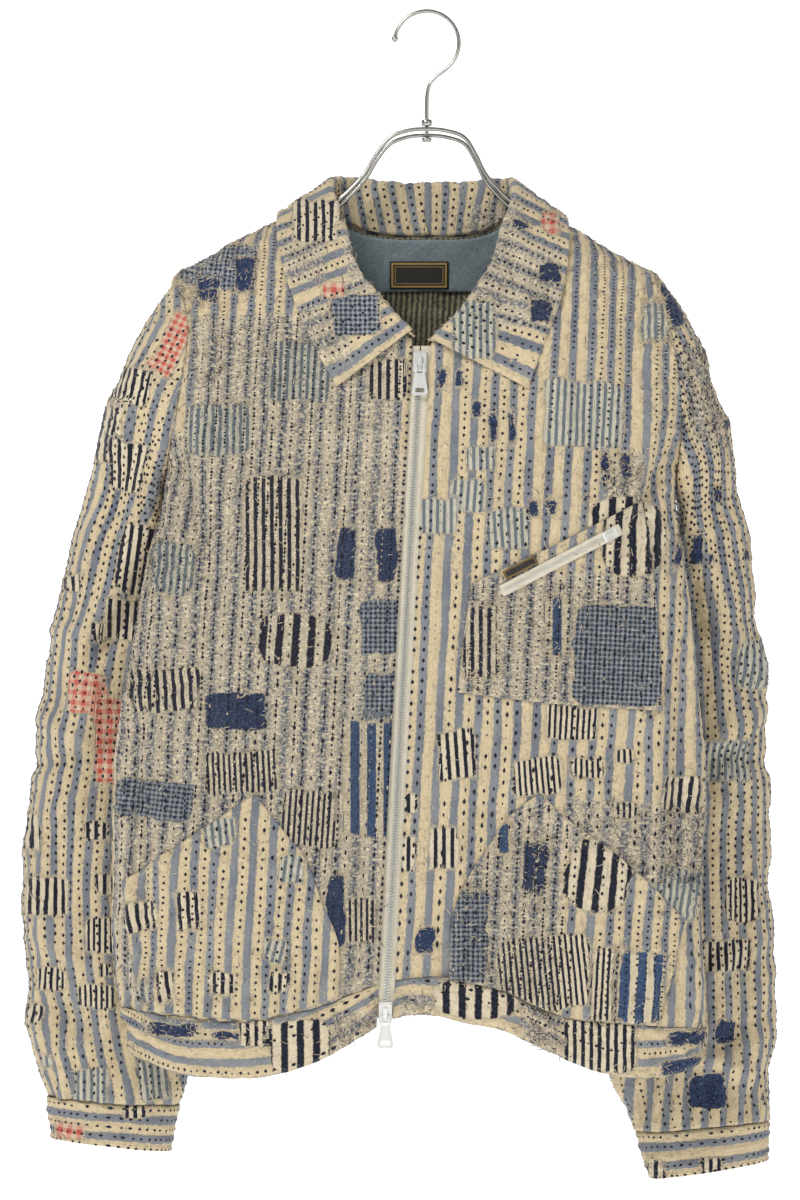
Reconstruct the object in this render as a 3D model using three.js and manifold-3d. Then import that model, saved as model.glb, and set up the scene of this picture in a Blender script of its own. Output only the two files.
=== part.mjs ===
// A patched work jacket hanging on a steel wire hanger, in millimetres, +Z up.
// The origin is the point inside the top of the hook that a rail bears on, and the fronts face -Y.
// Every cloth piece is a thin closed wall on a four-sided grid of points.
import * as THREE from 'three';
import { mergeVertices } from 'three/addons/utils/BufferGeometryUtils.js';
import Module from 'manifold-3d';

const wasm = await Module();
wasm.setup();

// Driving sizes.
const CLOTH = 2.0;            // thickness of the patched and quilted cloth
const THIN_CLOTH = 1.4;       // thickness of the facing and of patch pockets
const SEAM = 0.6;             // gap left between two pieces at a seam
const LIFT = 0.4;             // gap between a flat piece and what lies on it
const PATCH_LIFT = 1.0;       // gap under a pocket, which follows the cloth round its corner
const ARM_GAP = 2.0;          // gap round the armhole, where cloth turns from body to sleeve
const FACING_LIFT = 1.6;      // gap behind the facing, which crosses the steep neck corner
const ZIP_HALF = 6.3;         // from the zip's middle to the folded edge of a front
const TAPE = 0.9;             // thickness of the zip tape
const WIRE = 1.6;             // radius of the hanger's wire
const RING = 26.0;            // radius of the hook, on the middle of its wire
const NECK_Z = -149;          // height of the shoulder seam at the neck
const V_Z = -268;             // height where the front opening starts
const ARCH_BACK = -179;       // height of the neckline at the centre back

// A smooth function of one value through [place, value] knots, with Catmull-Rom slopes.
function through(knots) {
  const k = [...knots].sort((a, b) => a[0] - b[0]);
  const last = k.length - 1;
  const slope = k.map((point, i) => {
    const before = k[Math.max(i - 1, 0)];
    const after = k[Math.min(i + 1, last)];
    return (after[1] - before[1]) / (after[0] - before[0]);
  });
  return (x) => {
    if (x <= k[0][0]) return k[0][1];
    if (x >= k[last][0]) return k[last][1];
    let i = 0;
    while (x > k[i + 1][0]) i += 1;
    const h = k[i + 1][0] - k[i][0];
    const t = (x - k[i][0]) / h;
    const rise = k[i + 1][1] - k[i][1];
    const bend = t * (1 - t) * ((1 - t) * (slope[i] * h - rise) - t * (slope[i + 1] * h - rise));
    return k[i][1] + t * rise + bend;
  };
}

// A smooth route through points of any dimension, run from 0 to 1 by the length of its chords.
function route(points) {
  const at = [0];
  for (let i = 1; i < points.length; i += 1) {
    at.push(at[i - 1] + Math.hypot(...points[i].map((c, j) => c - points[i - 1][j])));
  }
  const total = at[at.length - 1];
  const axes = points[0].map((_, j) => through(points.map((p, i) => [at[i] / total, p[j]])));
  return (t) => axes.map((axis) => axis(t));
}

// The jacket's body as horizontal sections. All are functions of height.
const centreX = (z) => -5 + (z - V_Z) * 0.0531;
const sideX = {
  left: through([[NECK_Z, -81], [-168, -117], [-188, -158], [-207, -190], [-217, -201.5],
    [-232, -210], [-262, -217], [-295, -221], [-330, -218], [-355, -212], [-370, -209.5],
    [-407, -213], [-442, -223], [-507, -234], [-574, -245.5], [-620, -249.5], [-700, -250],
    [-748, -251], [-789, -246], [-818, -241], [-860, -232]]),
  right: through([[NECK_Z, 75], [-170, 109], [-190, 142], [-204, 168], [-213, 185],
    [-228, 201], [-258, 215], [-290, 220], [-320, 218], [-350, 208], [-370, 201],
    [-395, 198.5], [-436, 204], [-507, 213], [-558, 217], [-599, 221.5], [-640, 222.5],
    [-685, 219], [-736, 218], [-777, 221], [-830, 221], [-860, 217]]),
};
const armX = {
  left: through([[-217, -201.5], [-247, -191], [-278, -192], [-319, -198.5], [-355, -206.5],
    [-370, -209.5]]),
  right: through([[-213, 185], [-235, 189], [-258, 194], [-302, 202], [-340, 204], [-370, 201]]),
};
const TIP_Z = { left: -217, right: -213 };
const UNDERARM_Z = -370;
const frontY = through([[NECK_Z, -12], [-170, -26], [-200, -39], [-240, -48], [V_Z, -53],
  [-320, -60], [-400, -68], [-500, -74], [-620, -78], [-740, -79], [-800, -76], [-860, -70]]);
const backY = through([[NECK_Z, 14], [-170, 26], [-200, 35], [-240, 39], [-320, 43],
  [-450, 47], [-600, 51], [-740, 52], [-800, 49], [-860, 44]]);
const sideY = through([[NECK_Z, 0], [-250, 0], [UNDERARM_Z, -4], [-392, -10], [-415, -16],
  [-450, -24], [-500, -30], [-860, -28]]);
const FRONT_POWER = 2.8;
const backPower = through([[NECK_Z, 2.4], [UNDERARM_Z, 2.4], [-415, 2.0], [-500, 1.65],
  [-860, 1.65]]);

// How far x lies from the centre line, as a share of the half-width at that height.
const shareAt = (side, x, z) => (
  Math.min(Math.abs((x - centreX(z)) / (sideX[side](z) - centreX(z))), 1));
// Depth of the cloth at x, z: a flattened round section from the side seam to the middle.
function bodyY(face, side, x, z) {
  const power = face === 'front' ? FRONT_POWER : backPower(z);
  const middle = face === 'front' ? frontY(z) : backY(z);
  const seam = face === 'front' ? -SEAM / 2 : SEAM / 2;
  const fullness = (1 - shareAt(side, x, z) ** power) ** (1 / power);
  return sideY(z) + seam + (middle - sideY(z)) * fullness;
}

// Seam of the hem band and its lower edge: heights along X, front and back alike.
const seamZ = through([[-250, -797], [-227, -800], [-178, -805], [-146, -807], [-119, -803.5],
  [-86, -795], [-56, -783], [-33, -775], [5, -771], [30, -775], [60, -783], [81, -793],
  [109, -804], [142, -808], [172, -811], [222, -815]]);
const hemZ = through([[-250, -828], [-239, -834], [-211, -847], [-190, -851], [-144, -852],
  [-117, -848], [-86, -838], [-66, -827], [-48, -816], [-33, -807], [-20, -802], [5, -802],
  [30, -808], [60, -814], [90, -828], [122, -842], [148, -850], [182, -853], [205, -849],
  [222, -840]]);

// Steps from 0 to 1 that crowd together towards 1, where a section turns its corner.
const crowded = (s) => Math.sin((s * Math.PI) / 2) ** 0.9;

// A grid of points [x, y, z], rows of columns.
function grid(columns, rows, at) {
  const points = [];
  for (let j = 0; j <= rows; j += 1) {
    const row = [];
    for (let i = 0; i <= columns; i += 1) row.push(new THREE.Vector3(...at(i / columns, j / rows)));
    points.push(row);
  }
  return points;
}

// Unit normals of a grid from its neighbours. A round grid closes on itself across its columns.
function normals(points, round) {
  const columns = points[0].length;
  return points.map((row, j) => row.map((_, i) => {
    const before = round ? row[(i + columns - 1) % columns] : row[Math.max(i - 1, 0)];
    const after = round ? row[(i + 1) % columns] : row[Math.min(i + 1, columns - 1)];
    const below = points[Math.max(j - 1, 0)][i];
    const above = points[Math.min(j + 1, points.length - 1)][i];
    const across = new THREE.Vector3().subVectors(after, before);
    return new THREE.Vector3().subVectors(above, below).cross(across).normalize();
  }));
}

// Moves a grid along its normals.
function moved(points, distance, round = false) {
  const n = normals(points, round);
  return points.map((row, j) => row.map((p, i) => p.clone().addScaledVector(n[j][i], distance)));
}

// Moves a grid along its normals, whichever way those face, towards the front (or back if less
// than 0). A piece that lies on a panel is made from the panel's own points in this way.
function forward(points, distance) {
  const facesFront = normals(points, false).flat().reduce((sum, n) => sum - n.y, 0) > 0;
  return moved(points, facesFront ? distance : -distance);
}

// A closed wall of the given thickness about a grid.
function wall(points, thickness, round = false) {
  const rows = points.length;
  const columns = points[0].length;
  const layers = [moved(points, thickness / 2, round), moved(points, -thickness / 2, round)];
  const position = layers.flat(2).flatMap((p) => [p.x, p.y, p.z]);
  const at = (layer, i, j) => layer * rows * columns + j * columns + (i % columns);
  const index = [];
  const quad = (a, b, c, d) => index.push(a, b, c, a, c, d);
  const spans = round ? columns : columns - 1;
  for (let j = 0; j < rows - 1; j += 1) {
    for (let i = 0; i < spans; i += 1) {
      quad(at(0, i, j), at(0, i, j + 1), at(0, i + 1, j + 1), at(0, i + 1, j));
      quad(at(1, i, j), at(1, i + 1, j), at(1, i + 1, j + 1), at(1, i, j + 1));
    }
  }
  for (let i = 0; i < spans; i += 1) {
    quad(at(0, i, 0), at(0, i + 1, 0), at(1, i + 1, 0), at(1, i, 0));
    const top = rows - 1;
    quad(at(0, i, top), at(1, i, top), at(1, i + 1, top), at(0, i + 1, top));
  }
  if (!round) {
    for (let j = 0; j < rows - 1; j += 1) {
      quad(at(0, 0, j), at(1, 0, j), at(1, 0, j + 1), at(0, 0, j + 1));
      const end = columns - 1;
      quad(at(0, end, j), at(0, end, j + 1), at(1, end, j + 1), at(1, end, j));
    }
  }
  return outward(position, index);
}

// A geometry whose faces point out, whichever way its grid was wound.
function outward(position, index) {
  let volume = 0;
  const p = (i) => new THREE.Vector3(...position.slice(3 * i, 3 * i + 3));
  for (let i = 0; i < index.length; i += 3) {
    volume += p(index[i]).dot(p(index[i + 1]).cross(p(index[i + 2])));
  }
  if (volume < 0) index.reverse();
  const geometry = new THREE.BufferGeometry();
  geometry.setAttribute('position', new THREE.Float32BufferAttribute(position, 3));
  geometry.setIndex(index);
  geometry.computeVertexNormals();
  return geometry;
}

// A point inside four edges, each a function from 0 to 1 that gives [x, z] (a Coons patch).
function within(bottom, top, inner, outer) {
  return (a, v) => [0, 1].map((c) => (
    (1 - v) * bottom(a)[c] + v * top(a)[c] + (1 - a) * inner(v)[c] + a * outer(v)[c]
    - (1 - a) * (1 - v) * inner(0)[c] - a * (1 - v) * outer(0)[c]
    - (1 - a) * v * inner(1)[c] - a * v * outer(1)[c]));
}

const mix = (a, b, t) => a + (b - a) * t;
const sign = { left: -1, right: 1 };

// Material colours.
const looks = {
  cloth: { color: 0xc9bfa6, roughness: 0.95, metalness: 0 },
  facing: { color: 0x7f8d92, roughness: 0.95, metalness: 0 },
  label: { color: 0x17150f, roughness: 0.8, metalness: 0 },
  zip_tape: { color: 0xd9d0b8, roughness: 0.9, metalness: 0 },
  zip_metal: { color: 0xb4b5b2, roughness: 0.35, metalness: 1 },
  hanger_steel: { color: 0xa9a8a4, roughness: 0.3, metalness: 1 },
};
const jacket = new THREE.Group();
function add(name, geometry, look) {
  const mesh = new THREE.Mesh(geometry, new THREE.MeshStandardMaterial(looks[look]));
  mesh.name = name;
  jacket.add(mesh);
  return mesh;
}

// A height line that runs with the section's share, for hems: share 0 is the centre line.
function atShare(side, share, heightAt) {
  const guide = centreX(-820) + share * (sideX[side](-820) - centreX(-820));
  const z = heightAt(guide);
  return [centreX(z) + share * (sideX[side](z) - centreX(z)), z];
}

// Necklines, from the front opening or the centre back up to the shoulder seam.
const neckline = {
  left: route([[-12, -267], [-37, -250], [-62, -222], [-77, -190], [-82, -163], [-81, NECK_Z]]),
  right: route([[3, -270], [34, -252], [57, -224], [71, -192], [76, -163], [75, NECK_Z]]),
};
const backNeckline = {
  left: route([[1, ARCH_BACK], [-25, ARCH_BACK], [-52, -175], [-71, -165], [-81, NECK_Z]]),
  right: route([[1, ARCH_BACK], [26, ARCH_BACK], [50, -175], [66, -165], [75, NECK_Z]]),
};

// Edges of half a body panel. Its top runs along the shoulder and its outer edge round the armhole.
const shoulder = (side) => (a) => {
  const z = mix(NECK_Z, TIP_Z[side], a);
  return [sideX[side](z), z];
};
function outerEdge(side, bottomZ) {
  const seamShare = 0.72;
  return (v) => {
    if (v < seamShare) {
      const z = mix(bottomZ, UNDERARM_Z, v / seamShare);
      return [sideX[side](z), z];
    }
    const z = mix(UNDERARM_Z, TIP_Z[side], (v - seamShare) / (1 - seamShare));
    return [armX[side](z), z];
  };
}
const startShare = (side, z) => ZIP_HALF / Math.abs(sideX[side](z) - centreX(z));

function frontShape(side) {
  const seam = (z) => z + SEAM / 2;
  const bottom = (a) => {
    const share = mix(startShare(side, -775), 1, a);
    const [x, z] = atShare(side, share, seamZ);
    return [x, seam(z)];
  };
  const low = bottom(0);
  const openingShare = 0.79;
  const corner = neckline[side](0);
  const inner = (v) => {
    if (v < openingShare) {
      const z = mix(low[1], corner[1], v / openingShare);
      return [mix(low[0], corner[0], v / openingShare), z];
    }
    return neckline[side]((v - openingShare) / (1 - openingShare));
  };
  return within(bottom, shoulder(side), inner, outerEdge(side, bottom(1)[1]));
}

for (const side of ['left', 'right']) {
  const shape = frontShape(side);
  const front = grid(12, 20, (s, t) => {
    const [x, z] = shape(crowded(s), crowded(t));
    return [x, bodyY('front', side, x, z), z];
  });
  add(`front_${side}`, wall(front, CLOTH), 'cloth');
}

// The back is one piece, from side seam to side seam, under both shoulders and the neckline.
const NECK_SHARE = 0.4;
const sideOf = (u) => (u < 0 ? 'left' : 'right');
function backBottom(a) {
  const [x, z] = atShare(sideOf(2 * a - 1), Math.abs(2 * a - 1), seamZ);
  return [x, z + SEAM / 2];
}
function backTop(a) {
  const u = 2 * a - 1;
  const reach = Math.abs(u);
  if (reach < NECK_SHARE) return backNeckline[sideOf(u)](reach / NECK_SHARE);
  return shoulder(sideOf(u))((reach - NECK_SHARE) / (1 - NECK_SHARE));
}
const backShape = within(backBottom, backTop,
  outerEdge('left', backBottom(0)[1]), outerEdge('right', backBottom(1)[1]));
const besideCentre = (x, z) => (x < centreX(z) ? 'left' : 'right');
const backGrid = grid(22, 18, (s, t) => {
  const u = 2 * s - 1;
  const [x, z] = backShape((1 + Math.sign(u) * crowded(Math.abs(u))) / 2, crowded(t));
  return [x, bodyY('back', besideCentre(x, z), x, z), z];
});
add('back', wall(backGrid, CLOTH), 'cloth');

// The facing lies inside the back under the neckline, and the maker's label lies on the facing.
const FACING_LOW = -222;
const facing = grid(14, 3, (s, t) => {
  const side = s < 0.5 ? 'left' : 'right';
  const reach = Math.abs(2 * s - 1) * 0.93;
  const [topX, topZ] = backNeckline[side](reach);
  const z = mix(topZ - SEAM, FACING_LOW - 6 * reach * reach, t);
  const x = mix(topX, topX * 1.06, t);
  return [x, bodyY('back', side, x, z), z];
});
const inFacing = CLOTH / 2 + FACING_LIFT + THIN_CLOTH / 2;
add('neck_facing', wall(forward(facing, inFacing), THIN_CLOTH), 'facing');
const LABEL = { low: -220, high: -197, left: -30, right: 18, thickness: 0.8 };
const label = grid(4, 1, (s, t) => {
  const x = mix(LABEL.left, LABEL.right, s);
  const z = mix(LABEL.low, LABEL.high, t);
  return [x, bodyY('back', besideCentre(x, z), x, z), z];
});
const onFacing = CLOTH / 2 + FACING_LIFT + THIN_CLOTH + LIFT + LABEL.thickness / 2;
add('neck_label', wall(forward(label, onFacing), LABEL.thickness), 'label');

// Hem band: two fronts and a back, from the seam down to the arched lower edge.
function bandPoint(face, side, share, t) {
  const [, high] = atShare(side, share, seamZ);
  const [, low] = atShare(side, share, hemZ);
  const z = mix(low, high - SEAM / 2, t);
  const x = centreX(z) + sign[side] * share * Math.abs(sideX[side](z) - centreX(z));
  return [x, bodyY(face, side, x, z), z];
}
for (const side of ['left', 'right']) {
  const band = grid(12, 1, (s, t) => (
    bandPoint('front', side, mix(startShare(side, -800), 1, crowded(s)), t)));
  add(`hem_band_front_${side}`, wall(band, CLOTH), 'cloth');
}
add('hem_band_back', wall(grid(22, 1, (s, t) => {
  const u = 2 * s - 1;
  return bandPoint('back', u < 0 ? 'left' : 'right', crowded(Math.abs(u)), t);
}), CLOTH), 'cloth');

// Sleeves: rings between an outer point, an inner point and a depth.
// Each row is [outer x, outer z, inner x, inner z, middle y, half depth], from shoulder to cuff.
const sleeveRings = {
  left: [[-224, -249, -215, -383, 0, 34], [-240, -282, -217, -397, 6, 34],
    [-256, -315, -217.5, -412, 14, 33], [-266, -356, -214, -430, 21, 32],
    [-276, -392, -209, -450, 25, 31], [-289, -430, -204, -475, 27, 30],
    [-300, -480, -200, -508, 28, 29], [-310, -530, -199, -548, 29, 28],
    [-318, -590, -201, -600, 30, 28], [-326, -660, -204, -665, 31, 27],
    [-329, -716, -205, -718, 31, 27], [-326, -775, -200, -775, 31, 27],
    [-319, -835, -192, -840, 31, 27], [-311, -866, -196, -872, 30, 26],
    [-309, -877, -201, -884, 30, 25]],
  right: [[208, -245, 203.5, -383, 0, 34], [222, -277, 205, -397, 6, 34],
    [235, -310, 205, -412, 14, 33], [246, -345, 201, -430, 20, 32],
    [254, -382, 195, -450, 25, 31], [261, -425, 187, -475, 29, 30],
    [267, -470, 179, -508, 32, 29], [273, -520, 171, -548, 34, 28],
    [277, -580, 163, -600, 35, 27], [279, -645, 158, -660, 36, 27],
    [279, -700, 155, -712, 36, 27], [282, -765, 151, -770, 36, 27],
    [284, -828, 150, -838, 35, 27], [281, -860, 154, -866, 34, 26],
    [279, -897, 170, -906, 33, 25]],
};
const cuffRings = {
  left: [[-309, -878, -201, -885, 30, 24], [-305, -911, -209, -922, 30, 23]],
  right: [[279, -898, 170.5, -907, 33, 24], [278, -930, 183, -945, 33, 23]],
};
const SIDES = 18;
const ROUNDNESS = 2.3;

// A point of a ring: angle 0 is its outer point, and the front comes first.
function ringPoint([outX, outZ, inX, inZ, y, depth], angle) {
  const rounded = (value) => Math.sign(value) * Math.abs(value) ** (2 / ROUNDNESS);
  const along = (1 - rounded(Math.cos(angle))) / 2;
  return [mix(outX, inX, along), y - depth * rounded(Math.sin(angle)), mix(outZ, inZ, along)];
}

// A point of the armhole's edge, moved out from the body by the seam's gap.
function armholePoint(side, angle) {
  const along = (1 - Math.cos(angle)) / 2;
  const z = mix(TIP_Z[side], UNDERARM_Z, along);
  const x = armX[side](z);
  const y = bodyY(Math.sin(angle) >= 0 ? 'front' : 'back', side, x, z);
  return [x + sign[side] * ARM_GAP * (0.6 + along), y, z - ARM_GAP * along];
}

function sleevePoint(side, angle, t) {
  const rings = sleeveRings[side].map((ring) => ringPoint(ring, angle));
  return route([armholePoint(side, angle), ...rings])(t);
}
const angleAt = (s) => 2 * Math.PI * s;
function tube(rows, at) {
  return grid(SIDES, rows, at).map((row) => row.slice(0, SIDES));
}
for (const side of ['left', 'right']) {
  const sleeve = tube(15, (s, t) => sleevePoint(side, angleAt(s), t));
  add(`sleeve_${side}`, wall(sleeve, CLOTH, true), 'cloth');
  const cuff = tube(1, (s, t) => {
    const [top, low] = cuffRings[side];
    return ringPoint(top.map((c, k) => mix(c, low[k], t)), angleAt(s));
  });
  add(`cuff_${side}`, wall(cuff, CLOTH, true), 'cloth');
}

// Collar: one cloth that stands up from the neck seam, turns over at the roll and falls outside.
// Each row is [roll x, y, z, outer edge x, y, z], from the left tip round the back to the right.
const collarRows = [
  [-14, -58, -261, -72, -57, -305], [-31, -56, -244, -90, -54, -272],
  [-56, -48, -213, -107, -47, -233], [-70, -32, -176, -118, -30, -196],
  [-77, -8, -140, -121, 0, -163], [-66, 17, -134, -112, 24, -181],
  [-36, 29, -136, -68, 37, -198], [-2, 33, -137, -2, 40, -202],
  [32, 29, -136, 64, 37, -198], [62, 17, -135, 105, 24, -181],
  [71, -8, -142, 113, 0, -165], [64, -33, -176, 113, -31, -197],
  [50, -49, -213, 106, -48, -236], [27, -57, -247, 94, -55, -268],
  [5, -60, -268, 80, -59, -306]];
const rowAxes = collarRows[0].map((_, k) => (
  through(collarRows.map((row, i) => [i / (collarRows.length - 1), row[k]]))));
const collarRow = (t) => rowAxes.map((axis) => axis(t));
const FALL_LIFT = CLOTH + LIFT + 0.6;
const ROLL_OVER = 5;          // the fall stays this far above the shoulder where it crosses it

// The neck seam beside station t: up the left front, round the back, down the right front.
function neckSeam(t) {
  const frontPart = 4 / (collarRows.length - 1);
  const inward = 2.6;
  const line = (side, face, share) => {
    const [x, z] = (face === 'front' ? neckline : backNeckline)[side](share);
    return [x - sign[side] * inward, bodyY(face, side, x, z), z + inward];
  };
  if (t < frontPart) return line('left', 'front', t / frontPart);
  if (t < 0.5) return line('left', 'back', (0.5 - t) / (0.5 - frontPart));
  if (t < 1 - frontPart) return line('right', 'back', (t - 0.5) / (0.5 - frontPart));
  return line('right', 'front', (1 - t) / frontPart);
}

// Keeps a point of the fall clear of the body that it lies on.
function clearOfBody([x, y, z]) {
  const side = besideCentre(x, z);
  const lower = z - ROLL_OVER;
  if (lower > shoulderZ(side, x)) return [x, y, z];
  const face = y < sideY(z) ? 'front' : 'back';
  const cloth = bodyY(face, side, x, lower);
  const clear = face === 'front' ? Math.min(y, cloth - FALL_LIFT) : Math.max(y, cloth + FALL_LIFT);
  return [x, clear, z];
}
// Height of the shoulder seam at x.
function shoulderZ(side, x) {
  const seam = shoulder(side);
  const near = Math.min(Math.max((x - seam(0)[0]) / (seam(1)[0] - seam(0)[0]), 0), 1);
  return seam(near)[1];
}

const TURN = 2.6;
function collarPoint(t, q) {
  const [rollX, rollY, rollZ, edgeX, edgeY, edgeZ] = collarRow(t);
  const roll = new THREE.Vector3(rollX, rollY, rollZ);
  const edge = new THREE.Vector3(edgeX, edgeY, edgeZ);
  const foot = new THREE.Vector3(...neckSeam(t));
  const fallWay = edge.clone().sub(roll).normalize();
  const alongNeck = new THREE.Vector3(...collarRow(Math.min(t + 0.01, 1)).slice(0, 3))
    .sub(new THREE.Vector3(...collarRow(Math.max(t - 0.01, 0)).slice(0, 3))).normalize();
  const out = alongNeck.clone().cross(fallWay).normalize();
  const standShare = 0.3;
  const turnShare = 0.42;
  const innerRoll = roll.clone().addScaledVector(out, -TURN);
  const outerRoll = roll.clone().addScaledVector(out, TURN);
  if (q < standShare) return foot.lerp(innerRoll, q / standShare).toArray();
  if (q < turnShare) {
    const angle = (Math.PI * (q - standShare)) / (turnShare - standShare);
    return roll.addScaledVector(out, -TURN * Math.cos(angle))
      .addScaledVector(fallWay, -TURN * Math.sin(angle)).toArray();
  }
  return clearOfBody(outerRoll.lerp(edge, (q - turnShare) / (1 - turnShare)).toArray());
}
add('collar', wall(grid(28, 9, (s, t) => collarPoint(s, t)), CLOTH), 'cloth');

// Pockets and the chest patch lie on the fronts: four-sided outlines moved out from the cloth.
function patch(side, edges, columns, rows, thickness, lift) {
  const shape = within(...edges.map(route));
  const onPanel = grid(columns, rows, (a, v) => {
    const [x, z] = shape(a, v);
    return [x, bodyY('front', side, x, z), z];
  });
  return wall(forward(onPanel, CLOTH / 2 + lift + thickness / 2), thickness);
}
// Edges run bottom, top, inner and outer; bottom and top start at the inner edge.
const pocketLeft = [
  [[-69, -786], [-100, -796.5], [-130, -803.5], [-160, -804], [-222, -799]],
  [[-136, -627], [-190, -663], [-241, -697]],
  [[-69, -786], [-70, -744], [-84, -709], [-96, -677], [-110, -660], [-136, -627]],
  [[-222, -799], [-233, -760], [-241, -697]]];
const pocketRight = [
  [[17, -772], [60, -782], [109, -803], [140, -807], [182, -811]],
  [[88, -626], [112, -648], [154, -679], [203, -727]],
  [[17, -772], [20, -722], [32, -693], [48, -668], [66, -643], [88, -626]],
  [[182, -811], [194, -770], [203, -727]]];
const pocketChest = [
  [[24, -547], [100, -556], [186, -562]],
  [[35, -461], [100, -431], [172, -394]],
  [[24, -547], [29, -500], [35, -461]],
  [[186, -562], [181, -480], [172, -394]]];
add('pocket_left', patch('left', pocketLeft, 10, 9, THIN_CLOTH, PATCH_LIFT), 'cloth');
add('pocket_right', patch('right', pocketRight, 10, 9, THIN_CLOTH, PATCH_LIFT), 'cloth');
add('pocket_chest', patch('right', pocketChest, 9, 7, THIN_CLOTH, PATCH_LIFT), 'cloth');

// The chest zip lies on the chest patch, with its slider shut at the upper end.
const chestZip = { start: [58, -467.5], end: [152, -418.5], half: 4.6 };
const chestAngle = Math.atan2(
  chestZip.end[1] - chestZip.start[1], chestZip.end[0] - chestZip.start[0]);
function besideChestZip([x, z], out) {
  return [x - Math.sin(chestAngle) * out, z + Math.cos(chestAngle) * out];
}
const onChest = PATCH_LIFT + THIN_CLOTH + LIFT;
function chestStrip(inner, outer) {
  const ends = [chestZip.start, chestZip.end];
  const low = ends.map((end) => besideChestZip(end, inner));
  const high = ends.map((end) => besideChestZip(end, outer));
  return patch('right', [low, high, [low[0], high[0]], [low[1], high[1]]], 8, 1, TAPE, onChest);
}
add('chest_zip_tape', chestStrip(-chestZip.half, chestZip.half), 'zip_tape');
const CHEST_LABEL = { from: 8, to: 36, low: 6.2, high: 13.4, thickness: 0.8 };
function alongChestZip(distance, out) {
  const [x, z] = chestZip.start;
  return besideChestZip(
    [x + Math.cos(chestAngle) * distance, z + Math.sin(chestAngle) * distance], out);
}
const labelCorners = [CHEST_LABEL.low, CHEST_LABEL.high].map((out) => (
  [alongChestZip(CHEST_LABEL.from, out), alongChestZip(CHEST_LABEL.to, out)]));
add('chest_label', patch('right', [labelCorners[0], labelCorners[1],
  [labelCorners[0][0], labelCorners[1][0]], [labelCorners[0][1], labelCorners[1][1]]],
4, 1, CHEST_LABEL.thickness, onChest), 'label');

// Front zip: two tapes behind the folded edges, meeting in the middle.
const TAPE_WIDTH = 13;
const TAPE_GAP = 0.4;
const tapeBack = CLOTH / 2 + 2 * LIFT + TAPE / 2;
for (const side of ['left', 'right']) {
  const tape = grid(3, 18, (s, t) => {
    const z = mix(-804, -272, t);
    const x = centreX(z) + sign[side] * mix(TAPE_GAP, TAPE_WIDTH, s);
    return [x, bodyY('front', side, x, z) + tapeBack, z];
  });
  add(`zip_tape_${side}`, wall(tape, TAPE), 'zip_tape');
}

// A closed mesh as a solid that can be joined, and a solid back as a geometry.
function solid(geometry) {
  const bare = geometry.clone();
  bare.deleteAttribute('normal');
  bare.deleteAttribute('uv');
  const merged = mergeVertices(bare, 1e-4);
  return new wasm.Manifold(new wasm.Mesh({
    numProp: 3,
    vertProperties: new Float32Array(merged.attributes.position.array),
    triVerts: new Uint32Array(merged.index.array),
  }));
}
function geometryOf(manifold) {
  const { vertProperties, triVerts } = manifold.getMesh();
  return outward([...vertProperties], [...triVerts]);
}

// An outline in the plane of the slider's side, extruded across its width. Its first value runs
// out of the cloth, towards -Y, and its second runs up.
function across(outline, width) {
  const shape = new THREE.Shape(outline.map(([out, z]) => new THREE.Vector2(out, z)));
  const geometry = new THREE.ExtrudeGeometry(
    shape, { depth: width, bevelEnabled: false, steps: 1 });
  const turn = new THREE.Matrix4().makeBasis(
    new THREE.Vector3(0, -1, 0), new THREE.Vector3(0, 0, 1), new THREE.Vector3(-1, 0, 0));
  return geometry.applyMatrix4(turn).translate(width / 2, 0, 0);
}

// A slider is a cast plate with a raised bridge, which leaves a gap for the pull tab's bar.
const SLIDER = { width: 10.4, height: 17, thickness: 3.2, bridge: 3.4, gap: 2.2, bar: 1.3 };
const BRIDGE = { width: 3, half: 5, top: 4, hole: 3.4, foot: 0.5 };
function sliderGeometry() {
  const high = SLIDER.height / 2;
  const face = SLIDER.thickness;
  const top = face + SLIDER.bridge;
  const body = across([[0, -high], [face - 1, -high], [face, -high + 2], [face, high - 2],
    [face - 1, high], [0, high]], SLIDER.width);
  const sunk = face - BRIDGE.foot;
  const bridge = across([[sunk, -BRIDGE.half], [face, -BRIDGE.half], [top, -BRIDGE.top],
    [top, BRIDGE.top], [face, BRIDGE.half], [sunk, BRIDGE.half], [sunk, BRIDGE.hole],
    [face + SLIDER.gap, BRIDGE.hole], [face + SLIDER.gap, -BRIDGE.hole],
    [sunk, -BRIDGE.hole]], BRIDGE.width);
  return geometryOf(solid(body).add(solid(bridge)));
}

// A pull tab is a plate that hangs from its bar: a window takes the bridge, a slot lightens it.
// Its origin is the middle of the bar, which is also its hinge.
const TAB = { length: 26, topHalf: 4, neck: 8.6, lowHalf: 6.6, windowHalf: 2.2, window: 7.4 };
const SLOT = { high: -19.5, low: -23.2, half: 3.6 };
const box = (half, low, high) => [[-half, low], [half, low], [half, high], [-half, high]];
function tabGeometry() {
  const half = SLIDER.bar / 2;
  const low = half - TAB.length;
  const outline = [[-TAB.topHalf, half], [-TAB.topHalf, -TAB.neck], [-TAB.lowHalf, low + 2.1],
    [-TAB.lowHalf + 1.6, low], [TAB.lowHalf - 1.6, low], [TAB.lowHalf, low + 2.1],
    [TAB.topHalf, -TAB.neck], [TAB.topHalf, half]];
  const shape = new THREE.Shape(outline.map(([x, z]) => new THREE.Vector2(x, z)));
  for (const hole of [box(TAB.windowHalf, -TAB.window, -half),
    box(SLOT.half, SLOT.low, SLOT.high)]) {
    shape.holes.push(new THREE.Path(hole.map(([x, z]) => new THREE.Vector2(x, z))));
  }
  return new THREE.ExtrudeGeometry(shape, { depth: SLIDER.bar, bevelEnabled: false, steps: 1 })
    .translate(0, 0, -SLIDER.bar / 2).rotateX(Math.PI / 2);
}

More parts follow.
